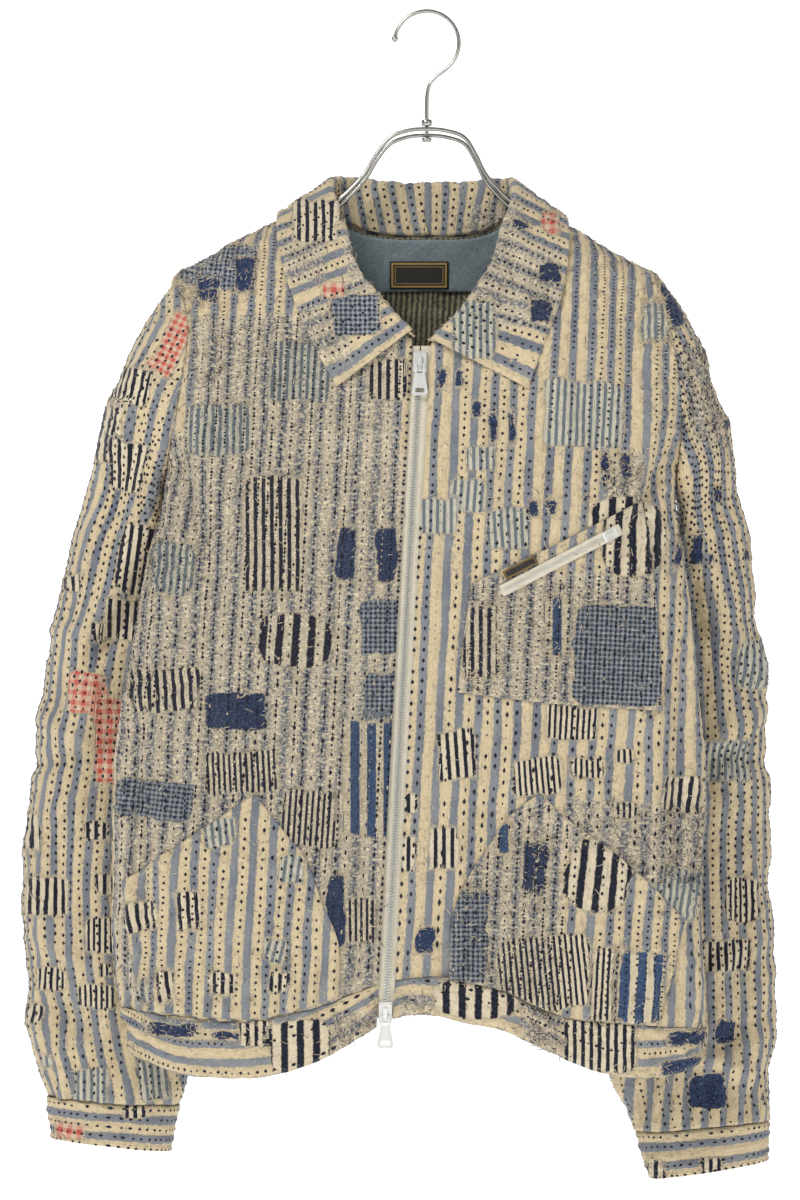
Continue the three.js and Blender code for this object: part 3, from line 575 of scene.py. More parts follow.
def folded(at, folds):
    """Height of the folds at each place: along a fold's line its height fades to nothing at both
    ends by a sine, and across it by a bell curve of its width. A fold's rise is half its height."""
    height = np.zeros(at.shape[:-1])
    for x0, z0, x1, z1, width, rise in folds:
        line = np.array([x1 - x0, z1 - z0], float)
        length = np.hypot(*line)
        from_start = at - [x0, z0]
        along = from_start @ line / length ** 2
        off = (from_start[..., 0] * line[1] - from_start[..., 1] * line[0]) / length
        fade = np.sin(np.pi * np.clip(along, 0, 1)) ** 0.7
        height += 2.0 * rise * fade * np.exp(-(off / width) ** 2)
    return height


def puckers(at, seed, sizes, height):
    """Sum of sine waves in seeded directions, about as high as height: the pull of the quilting."""
    draw = np.random.default_rng(seed)
    total = np.zeros(at.shape[:-1])
    for size in sizes:
        for _ in range(4):
            way, start = draw.uniform(0, 2 * np.pi, 2)
            total += np.sin((at[..., 0] * np.cos(way) + at[..., 1] * np.sin(way))
                            * 2 * np.pi / size + start)
    return height * total / np.sqrt(2 * len(sizes))


def scrap_depth(at, waver, number, kind, x, z, wide, high, turn=0, size=1):
    """How far inside one scrap each place is: (1 - (|x|/w)^p + (|z|/h)^p)^(1/p)) times its smaller
    half size. Also its own pattern's places. A large pattern's scrap is rounder."""
    angle = np.radians(turn)
    turn_by = np.array([[np.cos(angle), np.sin(angle)], [-np.sin(angle), np.cos(angle)]])
    straight = (at - [x, z]) @ turn_by
    local = straight + waver
    power = 2.8 if size > 1.5 else 8.0 + 6.0 * (number % 3)
    out = ((np.abs(local[..., 0]) / wide) ** power
           + (np.abs(local[..., 1]) / high) ** power) ** (1 / power)
    return kind, (1 - out) * min(wide, high), straight / size


def scrap_marks(at, scraps):
    """For each kind, how far inside its scraps each place is, where a later scrap hides an earlier
    one, with wavering outlines. Also the places that each scrap's own pattern follows."""
    waver = np.stack([puckers(at, 41, (13, 37), 0.9), puckers(at, 42, (11, 31), 0.9)], -1)
    marks = {kind: np.full(at.shape[:-1], -30.0) for kind in SCRAPS}
    own = at.copy()
    for number, scrap in enumerate(scraps):
        kind, depth, pattern = scrap_depth(at, waver, number, *scrap)
        if kind != "mend":
            own[depth > -3] = pattern[depth > -3]
            for other in SCRAPS[SCRAPS.index(kind):]:
                marks[other] = np.where(depth > 0, np.minimum(marks[other], -depth), marks[other])
        marks[kind] = np.maximum(marks[kind], depth)
    return marks, own


def stitch_row(near, far, out, width, rise):
    """Short threads from near to far: each a low ridge of six triangles that stands on the cloth
    with its ends sunk in it."""
    way = far - near
    side = np.cross(way, out)
    side *= width / 2 / np.maximum(np.linalg.norm(side, axis=-1, keepdims=True), 1e-9)
    middle = (near + far) / 2
    points = np.stack([near - out * 0.2, far - out * 0.2, middle - side, middle + side,
                       middle + out * rise], 1)
    faces = np.array([[0, 2, 4], [2, 1, 4], [1, 3, 4], [3, 0, 4], [0, 3, 1], [0, 1, 2]])
    index = faces[None] + 5 * np.arange(len(points))[:, None, None]
    return points.reshape(-1, 3), index.reshape(-1, 3), 5


def frays(root, way, out, length, seed):
    """Loose threads: three-sided tapering tubes that rise from the cloth and bend back to it,
    on three rings and a tip."""
    draw = np.random.default_rng(seed)
    n = len(root)
    bend = np.cross(way, out) * draw.uniform(-0.8, 0.8, (n, 1))
    lift = draw.uniform(0.2, 1.0, (n, 1))
    spine = [root - out * 0.3 + (way * f + bend * f * f) * length + out * lift * h
             for f, h in ((0, 0), (0.35, 1.4), (0.7, 1.7), (1, 0.7))]
    first, second = np.cross(way, out), out
    rings = []
    for place, thick in zip(spine[:3], (0.34, 0.3, 0.24)):
        for angle in (0, 2.094, 4.189):
            rings.append(place + thick * (first * np.cos(angle) + second * np.sin(angle)))
    points = np.stack([*rings, spine[3]], 1)
    faces = [[0, 2, 1]]
    for ring in (0, 3):
        for k in range(3):
            a, b = ring + k, ring + (k + 1) % 3
            faces += [[a, b, b + 3], [a, b + 3, a + 3]]
    faces += [[6, 7, 9], [7, 8, 9], [8, 6, 9]]
    index = np.array(faces)[None] + 10 * np.arange(n)[:, None, None]
    return points.reshape(-1, 3), index.reshape(-1, 3), 10


def read_between(values, row, column):
    """A grid's values at fractions of rows and columns, mixed from the four corners."""
    j = np.clip(row.astype(int), 0, values.shape[0] - 2)
    i = np.clip(column.astype(int), 0, values.shape[1] - 2)
    r, c = (row - j)[..., None], (column - i)[..., None]
    return ((values[j, i] * (1 - c) + values[j, i + 1] * c) * (1 - r)
            + (values[j + 1, i] * (1 - c) + values[j + 1, i + 1] * c) * r)


def join_bits(name, bits):
    """Many small closed meshes as one object, each with its thread's tone at its points."""
    points, faces, tones, start = [], [], [], 0
    for number, (bit_points, bit_faces, each, tone) in enumerate(bits):
        draw = np.random.default_rng(100 + number)
        points.append(bit_points)
        faces.append(bit_faces + start)
        tones.append(np.repeat(draw.uniform(*tone, len(bit_points) // each), each))
        start += len(bit_points)
    made = put(name, np.concatenate(points), np.concatenate(faces), thread_cotton,
               marks={"tone": np.concatenate(tones)})
    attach(made, "root")
    return made


def double(rows, columns, closed=False):
    """A grid's point numbers, and the quads of its outer layer, of an inner layer whose numbers
    follow on, and of the rims between them."""
    number = np.arange(rows * columns).reshape(rows, columns)
    layer = rows * columns
    a, b = number[:-1, :-1].ravel(), number[:-1, 1:].ravel()
    c, d = number[1:, 1:].ravel(), number[1:, :-1].ravel()
    faces = [np.stack([a, b, c, d], 1), np.stack([a, d, c, b], 1) + layer]
    rails = [number[0], number[-1, ::-1]]
    if not closed:
        rails += [number[::-1, 0], number[:, -1]]
    for rail in rails:
        faces.append(np.stack([rail[1:], rail[:-1], rail[:-1] + layer, rail[1:] + layer], 1))
    return number, np.concatenate(faces)


def running_stitch(middle, top, out, grain, mend, draw):
    """Rows of stitches along the grain. A row is where the grain's across is a multiple of the
    rows' distance; it is skipped, or misses a stitch, by chance, and darned zones have a second
    set between the first."""
    rows, columns = middle.shape[:2]
    across = grain[..., 0]
    flip = across[rows // 2, -1] < across[rows // 2, 0]
    if flip:
        across = across[:, ::-1]
    lines = np.arange(np.ceil(across.min() / ROWS_APART), across.max() / ROWS_APART) * ROWS_APART
    crossing = np.stack([np.interp(lines, across[j], np.arange(columns), np.nan, np.nan)
                         for j in range(rows)], 1)
    if flip:
        crossing = columns - 1 - crossing
    step = steps_of(middle[:, columns // 2]).mean()
    pitch = STITCH_PITCH / step
    count = int((rows - 2) / pitch)
    row = np.arange(count) * pitch + draw.uniform(0, pitch, (len(lines), 1))
    row = row + draw.uniform(-0.12, 0.12, row.shape) * pitch
    line = np.repeat(np.arange(len(lines))[:, None], count, 1)

    def lay(start, long, keep, width, tone):
        """Stitches of this length from these starts on each line, where keep says so."""
        ends = []
        for r in (np.clip(start, 0.5, rows - 2), np.clip(start + long / step, 0.5, rows - 1.5)):
            j = r.astype(int)
            ends.append((r, mix(crossing[line, j], crossing[line, j + 1], r - j)))
        good = keep & np.isfinite(ends[0][1]) & np.isfinite(ends[1][1])
        near, far = ((r[good], c[good]) for r, c in ends)
        return (*stitch_row(read_between(top, *near), read_between(top, *far),
                            read_between(out, *near), width, 0.55), tone)

    shy = draw.uniform(size=(len(lines), 1)) < 0.22
    bits = [lay(row, 3.7, (draw.uniform(size=row.shape) > 0.07) & ~shy, 2.8, (0.0, 0.46))]
    if mend is not None:
        at_row = np.clip(row, 0, rows - 1).astype(int)
        darned = read_between(mend[..., None], np.clip(row, 0, rows - 2),
                              np.nan_to_num(crossing[line, at_row]))[..., 0] > 0
        bits.append(lay(row + pitch / 2, 2.8, darned, 2.0, (0.0, 0.8)))
    return bits


def topstitch(middle, top, out, edge, inset):
    """Small cream stitches along one edge, 4 mm apart, some grid steps inside it."""
    rows, columns = middle.shape[:2]
    is_row = edge in ("low", "high")
    size = columns if is_row else rows
    length = steps_of(middle[0] if is_row else middle[:, 0]).sum()
    run = np.linspace(1, size - 2.2, max(int(length / 4.0), 2))
    far_run = run + 2.6 / length * size
    fixed = {"low": inset, "high": rows - 1 - inset, "start": inset,
             "end": columns - 1 - inset}[edge]
    hold = np.full(len(run), float(fixed))
    near, far = ((hold, run), (hold, far_run)) if is_row else ((run, hold), (far_run, hold))
    return (*stitch_row(read_between(top, *near), read_between(top, *far),
                        read_between(out, *near), 0.9, 0.35), (0.66, 0.8))


def loose_threads(tops, outs, rims, mend, mends, seed, draw):
    """Frayed threads at points picked by chance: on most points of the scraps' rims, about as many
    as mends says over the darned zones, and half as many over the rest."""
    bits = []
    for chosen, share, long, tone in (
        (np.abs(rims + 0.4) < 1.5, 0.6, (2.0, 6.0), (0.7, 1.0)),
        (mend > 0, mends / max((mend > 0).sum(), 1), (2.5, 9.0), (0.4, 1.0)),
        (mend <= 0, mends / 2 / max((mend <= 0).sum(), 1), (2.0, 8.0), (0.6, 1.0)),
    ):
        pick = np.flatnonzero(chosen & (draw.uniform(size=len(tops)) < share))
        if len(pick):
            way = unit(np.cross(outs[pick], draw.normal(size=(len(pick), 3))))
            length = draw.uniform(*long, (len(pick), 1))
            bits.append((*frays(tops[pick], way, outs[pick], length, seed + 7), tone))
    return bits


def sew(name, middle, out_sign, grain, at, scraps, folds, thickness, seed, sheet, closed=False,
        ripple=0.8, mends=900, trim=(), scrap_at=None, lined=True, dyed=None, calm=1.0):
    """One piece of cloth. Its wall is the middle grid moved out and in along its normals by half
    the thickness, with the folds and puckers times calm on both sides, and on the outer one the
    quilting's cosine and the scraps. at places folds and scraps (or scrap_at the scraps), and the
    stripes follow the grain (or dyed). Stitches and loose threads are one mesh of their own beside
    it."""
    out = normals(middle, closed) * out_sign
    marks, own = scrap_marks(at if scrap_at is None else scrap_at, scraps)
    rims = np.max([marks[kind] for kind in SCRAPS if kind != "mend"], axis=0)
    drape = folded(at, folds) + puckers(at, seed, FINE_PUCKERS, ripple)
    if closed:
        drape += puckers(at, seed + 60, (52, 88), 2.4 * ripple)
    drape = drape * calm
    quilt = 0.4 * np.cos(2 * np.pi * grain[..., 0] / ROWS_APART)
    if closed:
        drape[:, -1], quilt[:, -1] = drape[:, 0], quilt[:, 0]
    raised = 0.45 * np.clip(rims / 1.5, 0, 1) + 0.35 * np.exp(-((rims + 0.6) / 1.6) ** 2)
    rows, columns = middle.shape[:2]
    if not closed:
        j, i = np.indices((rows, columns))
        rim_steps = np.minimum.reduce([j, i, rows - 1 - j, columns - 1 - i])
        raised = raised - 0.5 * np.exp(-rim_steps / 1.2)
    top = middle + out * (thickness / 2 + drape + quilt + raised)[..., None]
    under = middle + out * (drape - thickness / 2)[..., None]
    points = np.concatenate([top.reshape(-1, 3), under.reshape(-1, 3)])
    number, faces = double(rows, columns, closed)
    layer = rows * columns
    weld = np.arange(2 * layer)
    if closed:
        weld[number[:, -1]] = number[:, 0]
        weld[number[:, -1] + layer] = number[:, 0] + layer
    kept, index = np.unique(weld, return_inverse=True)
    twice = {"scrap_" + kind: np.tile(values.ravel(), 2)[kept] for kind, values in marks.items()}
    twice["inner"] = np.repeat([0.0, float(lined)], layer)[kept]
    grain_uv, own_uv = (np.tile(uv.reshape(-1, 2), (2, 1))[faces]
                        for uv in (grain if dyed is None else dyed, own))
    piece = put(name, points[kept], index[faces], boro_cloth, grain_uv, own_uv, twice)

    draw = np.random.default_rng(seed)
    has_mend = len(scraps) and scraps[0][0] == "mend"
    bits = running_stitch(middle, top, out, grain, marks["mend"] if has_mend else None, draw)
    bits += [topstitch(middle, top, out, edge, inset) for edge, inset in trim]
    skin = slice(0, columns - 1) if closed else slice(None)
    bits += loose_threads(top[:, skin].reshape(-1, 3), out[:, skin].reshape(-1, 3),
                          rims[:, skin].ravel(), marks["mend"][:, skin].ravel(), mends, seed, draw)
    threads = join_bits(name + "_threads", bits)
    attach(piece, "root")
    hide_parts(name)
    flat, area, rests = sheet
    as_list(rests)
    return piece


def hung_xz(x, z):
    """The places, seen from the front, that scraps and folds are laid out on."""
    return np.stack([x, z], -1)


# Fronts. Each front is one panel from the zip's folded edge to the side seam, gathered a little
# into the hem band and set full of scraps, and the wearer's right one is darned nearly all over.
front_scraps = {
    "left": [
        ("mend", -130, -570, 118, 232), ("mend", -104, -300, 82, 52),
        ("check", -168, -207, 30.4, 18.4, 6), ("indigo", -175, -226, 8.4, 8.8, 8),
        ("indigo", -144, -215, 8.4, 14.4), ("pale", -100, -293, 23.6, 23.2, 3),
        ("pale", -164, -339, 24.4, 20.4), ("ink", -31, -299, 14.8, 16.4),
        ("ink", -122, -422, 23.2, 45.2), ("pale", -202, -449, 17.2, 21.2, 5),
        ("indigo", -64, -438, 7.6, 21.2), ("indigo", -32, -438, 8, 21.2),
        ("ink", -104, -506, 30, 21.2, 4, 1.9), ("check", -37, -496, 15.6, 21.6),
        ("check", -36, -550, 14, 18.4), ("ink", -207, -545, 28.4, 17.2, -4),
        ("indigo", -151, -562, 24, 14.4), ("ink", -147, -610, 28.4, 16.4, -3, 0.68),
        ("check", -216, -632, 31.2, 15.2, 6), ("ink", -91, -646, 23.2, 22.4, 4, 0.68),
        ("blue", -44, -615, 22.4, 45.2), ("indigo", -72, -720, 7.2, 28.8),
        ("ink", -52, -727, 12.4, 17.6, 0, 0.68),
    ],
    "right": [
        ("indigo", 12, -299, 3.6, 7.2), ("indigo", 26, -298, 3.2, 6.4),
        ("indigo", 39, -323, 3.6, 6), ("indigo", 52, -337, 3.6, 11.2),
        ("indigo", 66, -338, 3.2, 10.8), ("indigo", 142, -365, 3.2, 7.2),
        ("indigo", 156, -368, 3.6, 8.8), ("indigo", 141, -378, 2.8, 2.8),
        ("indigo", 125, -393, 2.8, 2.4), ("indigo", 85, -401, 3.6, 6.8),
        ("indigo", 98, -400, 3.2, 5.6), ("indigo", 199, -438, 2.8, 9.2),
        ("pale", 124, -327, 31.6, 26.4, 3), ("pale", 182, -251, 11.2, 16.4),
        ("pale", 42, -363, 11.6, 9.2), ("pale", 32, -392, 13.2, 13.2, 4),
        ("pale", 8, -408, 14.8, 13.2), ("pale", 64, -418, 15.6, 15.6, -3),
        ("pale", 197, -706, 19.2, 20.4, 8), ("ink", 158, -424, 30.8, 31.6, 2, 1.9),
        ("ink", 23, -596, 14.8, 19.2, -4), ("ink", 202, -628, 15.2, 14.4, 6),
        ("ink", -15, -634, 6.8, 6.8), ("ink", 13, -669, 11.2, 16.4), ("ink", -15, -674, 6.4, 12.8),
        ("ink", 114, -571, 20, 13.2, 3, 0.68), ("ink", 86, -613, 18.4, 14.4, -5, 0.68),
        ("ink", 126, -607, 13.2, 8, 0, 0.68), ("ink", 156, -598, 7.6, 5.2, 0, 0.68),
        ("ink", 155, -640, 9.6, 6.4, 0, 0.68), ("indigo", -2, -742, 8, 10.8),
        ("mend", 162, -666, 56, 32, 5), ("mend", 154, -376, 16, 18),
    ],
}
front_folds = {
    "left": [
        (-196, -300, -150, -420, 13, 3.2), (-205, -345, -165, -470, 9, -3.0),
        (-40, -300, -70, -520, 12, 2.2), (-75, -420, -60, -600, 10, -2.2),
        (-30, -330, -42, -560, 5, 1.4), (-48, -540, -56, -770, 5, -1.6),
        (-120, -330, -130, -560, 15, 2.4), (-180, -520, -160, -680, 12, -2.8),
        (-234, -560, -222, -770, 8, -3.2), (-210, -600, -205, -770, 8, 2.6),
        (-100, -235, -140, -330, 12, 2.4), (-150, -215, -175, -300, 10, -2.2),
        (-95, -700, -60, -770, 9, 2.4), (-140, -560, -230, -600, 10, 1.8),
        (-60, -400, -150, -380, 9, 1.4), (-70, -640, -30, -700, 8, -1.8),
    ],
    "right": [
        (188, -300, 150, -420, 13, 3.0), (196, -345, 150, -450, 9, -2.6),
        (30, -300, 60, -460, 12, 2.2), (16, -330, 8, -560, 5, -1.6), (4, -560, -4, -760, 5, -1.6),
        (90, -240, 120, -380, 12, 2.4), (150, -215, 165, -300, 10, -2.2),
        (204, -480, 196, -700, 9, -3.2), (180, -560, 175, -740, 9, 2.6),
        (100, -570, 40, -640, 10, 2.2), (186, -580, 110, -610, 9, -2.2),
        (30, -560, 22, -700, 10, 2.0), (60, -600, 30, -720, 9, -1.8),
        (120, -330, 60, -420, 9, 1.4),
    ],
}


front_reach = {"left": (-238, -28), "right": (14, 214)}


def gathers(low_x, high_x, height, reach, apart=17.0, rise=1.5):
    """Short upright ridges, side by side, where cloth is gathered into a band."""
    return [(x, height(x) - 4, x + (4 if k % 2 else -3), height(x) + reach * (0.7 + 0.3 * (k % 3)),
             5.0, rise * (1 if k % 2 else -1))
            for k, x in enumerate(np.arange(low_x, high_x, apart / 2))]


def side_seam(from_edge, z, apart):
    """How far a panel's edge leans over to meet the other panel under the arm: half their
    distance apart, times the square of the nearness to the edge."""
    near = np.clip(1 - from_edge / 0.12, 0, 1) ** 2 * np.clip((UNDERARM_Z - z) / 20, 0, 1)
    return near * np.maximum(apart / 2 - 0.2, 0)


for side, seed, flat, area in (("left", 1, (0.27, 0.66), 0.132), ("right", 2, (0.26, 0.66), 0.141)):
    s, t = mesh_grid(88, 216)
    place = front_shape(side)(crowded(s), crowded(t))
    x, z = place[..., 0], place[..., 1]
    apart = (body_y(False, x, z) - body_y(True, x, z))[:, -1:]
    y = body_y(True, x, z) + side_seam(1 - s, z, apart)
    panel = np.stack([x, y, z], -1)
    grain = np.stack([round_way(True, x, z), z], -1)
    nearest = np.minimum((np.abs(x - centre_x(z)) - 13) / 14, (1 - s) / 0.14)
    sew("front_" + side, panel, -turned[side], grain, hung_xz(x, z), front_scraps[side],
        front_folds[side] + gathers(*front_reach[side], seam_z, 46), CLOTH, seed,
        (flat, area, ["hanger_rail_front"]), mends=1700, calm=0.05 + 0.95 * np.clip(nearest, 0, 1),
        trim=(("start", 3.0), ("low", 2.0)))

# Back. One wide panel, cut from the same cloth, runs from side seam to side seam under both
# shoulders; it carries scraps like the fronts' and hangs in long soft folds from the shoulders.
back_scraps = [
    ("mend", 60, -520, 120, 170), ("mend", -140, -700, 80, 70), ("check", -120, -270, 34, 22, 5),
    ("ink", -60, -330, 26, 34), ("indigo", -30, -250, 9, 16), ("indigo", 8, -252, 9, 18),
    ("pale", 60, -260, 30, 22, 3), ("ink", 130, -300, 22, 26, -4, 0.68),
    ("ink", 110, -430, 30, 24, 3, 1.9), ("check", 20, -440, 26, 34), ("blue", 60, -560, 24, 40),
    ("pale", 150, -540, 26, 24, 6), ("ink", 0, -620, 22, 30, 0, 0.68),
    ("indigo", 140, -650, 9, 22), ("indigo", 162, -652, 9, 20), ("ink", -110, -440, 24, 30, -3),
    ("pale", -170, -400, 18, 26, 5), ("check", -180, -560, 26, 20, 4), ("ink", -60, -560, 18, 22),
    ("pale", -90, -640, 24, 20, -6), ("ink", -150, -710, 30, 24, 4, 1.9),
    ("blue", -40, -720, 22, 34), ("ink", 60, -720, 26, 22, -4), ("pale", 120, -750, 24, 18, 3),
    ("red", -190, -660, 14, 20), ("ink", 180, -760, 16, 18, 0, 0.68),
]
back_folds = [
    (-190, -250, -120, -520, 15, 3.2), (175, -250, 110, -520, 15, 3.2),
    (-60, -240, -70, -620, 18, 2.6), (50, -240, 60, -640, 18, -2.6),
    (-130, -480, -140, -780, 14, -3.2), (0, -420, -10, -770, 16, 2.8),
    (110, -500, 120, -780, 14, -3.0), (-206, -420, -200, -700, 10, 3.0),
    (180, -420, 184, -700, 10, 2.8), (-200, -560, -60, -600, 14, 1.8),
    (30, -470, 170, -520, 13, 1.8),
]


def both_sides(u, left, right):
    """Takes the left function's points where u is less than 0 and the right one's elsewhere."""
    return np.where((u < 0)[..., None], left, right)


def back_bottom(a):
    """The back's hem seam, from the left side seam to the right."""
    u = 2 * a - 1
    ends = [at_share(side, np.abs(u), seam_z) for side in ("left", "right")]
    return both_sides(u, *ends) + [0, SEAM / 2]


def back_top(a):
    """The back's upper edge: a shoulder, the neckline and the other shoulder."""
    u, reach = 2 * a - 1, np.abs(2 * a - 1)
    beyond = (reach - BACK_NECK_SHARE) / (1 - BACK_NECK_SHARE)
    neck = both_sides(u, *(back_neckline[side](reach / BACK_NECK_SHARE) for side in turned))
    arms = both_sides(u, *(shoulder(side)(beyond) for side in turned))
    return np.where((reach < BACK_NECK_SHARE)[..., None], neck, arms)


s, t = mesh_grid(128, 148)
u = 2 * s - 1
back_shape = within(back_bottom, back_top, outer_edge("left", back_bottom(np.zeros(1))[0, 1]),
                    outer_edge("right", back_bottom(np.ones(1))[0, 1]))
place = back_shape((1 + np.sign(u) * crowded(np.abs(u))) / 2, crowded(t))
x, z = place[..., 0], place[..., 1]
apart = body_y(False, x, z) - body_y(True, x, z)
apart = np.where(u < 0, apart[:, :1], apart[:, -1:])
y = body_y(False, x, z) - side_seam(1 - np.abs(u), z, apart)
sew("back", np.stack([x, y, z], -1), 1, np.stack([round_way(False, x, z), z], -1), hung_xz(x, z),
    back_scraps, back_folds + gathers(-236, 212, seam_z, 42), CLOTH, 3,
    ((0.56, 0.66), 0.29, ["hanger_rail_back"]),
    calm=0.05 + 0.95 * np.clip((1 - np.abs(u)) / 0.14, 0, 1), trim=(("low", 2.0),))

# Neck facing and label. A chambray facing lines the back under the collar, its lower edge turned
# in; a black woven label with a plain gold border, bare of words, is sewn to its middle.
def chambray(name="chambray"):
    """Grey-blue weft and warp, each a noise drawn out one way, under paler washed blots."""
    look, shader = plain(name, (0.2, 0.25, 0.27), 0.92)
    tree = look.node_tree
    place = point_of(tree, *axes(tree, "cloth"))
    yarns = times(tree, add(tree, cloud(tree, place, 5, 0.7), cloud(tree, place, 0.7, 5, 2.0, 4.0)),
                  0.5)
    washed = cloud(tree, place, 18, 14, 3.0, 8.0)
    colour = shade(tree, level(tree, yarns, 3.0, -1.0, True), dye(78, 96, 108),
                   dye(150, 162, 164))
    colour = shade(tree, times(tree, washed, 0.5), colour, dye(122, 134, 136))
    tree.links.new(colour, shader.inputs["Base Color"])
    emboss(tree, shader, yarns, 0.0004)
    shader.inputs["Sheen Weight"].default_value = 0.2
    return look


def slab(name, middle, toward, thickness, look, grain, nodes):
    """A small flat piece: its middle grid moved out and in by half its thickness, with its edges
    drawn in a little so that they look rolled."""
    rows, columns = middle.shape[:2]
    out = normals(middle)
    out *= np.sign((out * toward).sum(-1).mean())
    j, i = np.indices((rows, columns))
    edge = np.minimum.reduce([j, i, rows - 1 - j, columns - 1 - i]) == 0
    half = np.where(edge, 0.3, 0.5) * thickness
    points = np.concatenate([(middle + out * half[..., None]).reshape(-1, 3),
                             (middle - out * half[..., None]).reshape(-1, 3)])
    faces = double(rows, columns)[1]
    piece = put(name, points, faces, look, np.tile(grain.reshape(-1, 2), (2, 1))[faces])
    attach(piece, "root")
    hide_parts(*nodes)
    return piece


LINED, LABEL = 1.6, 0.8
s, t = mesh_grid(80, 20)
reach = np.abs(2 * s - 1) * 0.93
neck_top = both_sides(2 * s - 1, back_neckline["left"](reach), back_neckline["right"](reach))
z = mix(neck_top[..., 1] - SEAM, -222 - 6 * reach * reach, t)
x = mix(neck_top[..., 0], neck_top[..., 0] * 1.06, t)
facing = np.stack([x, body_y(False, x, z), z], -1)
facing_out = normals(facing)
facing_out *= -np.sign(facing_out[..., 1].mean())
facing_grain = np.stack([x, z], -1)
facing_lift = CLOTH / 2 + LINED + THIN_CLOTH / 2 + 0.3 * puckers(facing_grain, 9, (22, 41), 1.0)
slab("neck_facing", facing + facing_out * facing_lift[..., None], (0, -1, 0), THIN_CLOTH,
     chambray(), facing_grain, ["neck_facing"])


def label_cloth(name, wide, high):
    """Black satin weave with a gold line a little inside its edge and a second, finer one."""
    look, shader = plain(name, (0.01, 0.01, 0.01), 0.6)
    tree = look.node_tree
    across, along = axes(tree, "cloth")
    inset = calc(tree, "MINIMUM",
                 calc(tree, "SUBTRACT", wide / 2, calc(tree, "ABSOLUTE", across)),
                 calc(tree, "SUBTRACT", high / 2, calc(tree, "ABSOLUTE", along)))
    margin = high * 0.09
    line = calc(tree, "COMPARE", inset, margin, margin * 0.4)
    fine = calc(tree, "COMPARE", inset, margin * 2.2, margin * 0.16)
    gold = calc(tree, "MAXIMUM", line, fine)
    rib = calc(tree, "PINGPONG", along, 0.35)
    shot = cloud(tree, point_of(tree, across, along), 1.2, 0.5)
    broken = times(tree, gold, level(tree, shot, 2.4, -0.3, True))
    colour = shade(tree, broken, shade(tree, shot, dye(20, 18, 14), dye(44, 40, 30)),
                   dye(178, 144, 78))
    tree.links.new(colour, shader.inputs["Base Color"])
    emboss(tree, shader, add(tree, rib, gold), 0.0003)
    return look


s, t = mesh_grid(24, 12)
x, z = mix(-30.0, 18.0, s), mix(-220.0, -197.0, t)
label = np.stack([x, body_y(False, x, z), z], -1)
label_out = normals(label)
label_out *= -np.sign(label_out[..., 1].mean())
slab("neck_label", label + label_out * (CLOTH / 2 + LINED + THIN_CLOTH + 0.4 + LABEL / 2),
     (0, -1, 0), LABEL, label_cloth("woven_label", 48, 23), np.stack([x + 6, z + 208.5], -1),
     ["neck_label"])

# Hem band. Two fronts and a back, cut across the stripes, so theirs run level; the band holds the
# gathered fronts and back, and is quilted in level rows with scraps let in.
band_scraps = {
    "left": [
        ("indigo", -200, -814, 19.2, 5.2), ("indigo", -159, -818, 9.6, 2.8),
        ("ink", -135, -816, 13.2, 10.4), ("ink", -100, -827, 24, 23.2, 0, 1.9),
        ("mend", -45, -824, 31.2, 26),
    ],
    "right": [
        ("mend", -8, -802, 13.2, 16), ("ink", 40, -787, 34.8, 16.8, 0, 1.9),
        ("mend", 91, -814, 16.8, 28), ("ink", 136, -826, 28.8, 22), ("indigo", 207, -822, 14.8, 6),
        ("indigo", 201, -845, 16, 6.8),
    ],
    "back": [
        ("ink", -120, -822, 20, 12), ("indigo", 60, -805, 16, 6), ("mend", 10, -790, 60, 30),
        ("ink", 140, -830, 24, 14, 0, 1.9),
    ],
}


def band_place(side, share, t):
    """The band between the seam's and the hem's heights at the same share of the half-width."""
    high = at_share(side, share, seam_z)[..., 1]
    low = at_share(side, share, hem_z)[..., 1]
    z = mix(low, high - SEAM / 2, t)
    return centre_x(z) + turned[side] * share * np.abs(half_x(side, z)), z


for side, area in (("left", 0.0093), ("right", 0.0089)):
    t, s = mesh_grid(18, 96)
    x, z = band_place(side, mix(start_share(side, -800.0), 1, crowded(s)), t)
    band = np.stack([x, body_y(True, x, z), z], -1)
    sew("hem_band_front_" + side, band, turned[side], np.stack([z - z[:, :1] + 3,
        round_way(True, x, z)], -1), hung_xz(x, z), band_scraps[side],
        gathers(*front_reach[side], hem_z, 44, 15, 0.7), CLOTH, 11,
        ((0.28, 0.05), area, ["front_" + side]), mends=160, trim=(("start", 1.2), ("end", 1.2)))
t, s = mesh_grid(16, 150)
u = 2 * s - 1
ends = [band_place(side, crowded(np.abs(u)), t) for side in ("left", "right")]
x, z = (np.where(u < 0, left, right) for left, right in zip(*ends))
sew("hem_band_back", np.stack([x, body_y(False, x, z), z], -1), -1,
    np.stack([z - z[:, :1] + 3, round_way(False, x, z)], -1), hung_xz(x, z), band_scraps["back"],
    gathers(-236, 212, hem_z, 40, 16, 0.7), CLOTH, 12, ((0.56, 0.05), 0.0189, ["back"]),
    mends=160, trim=(("start", 1.2), ("end", 1.2)))

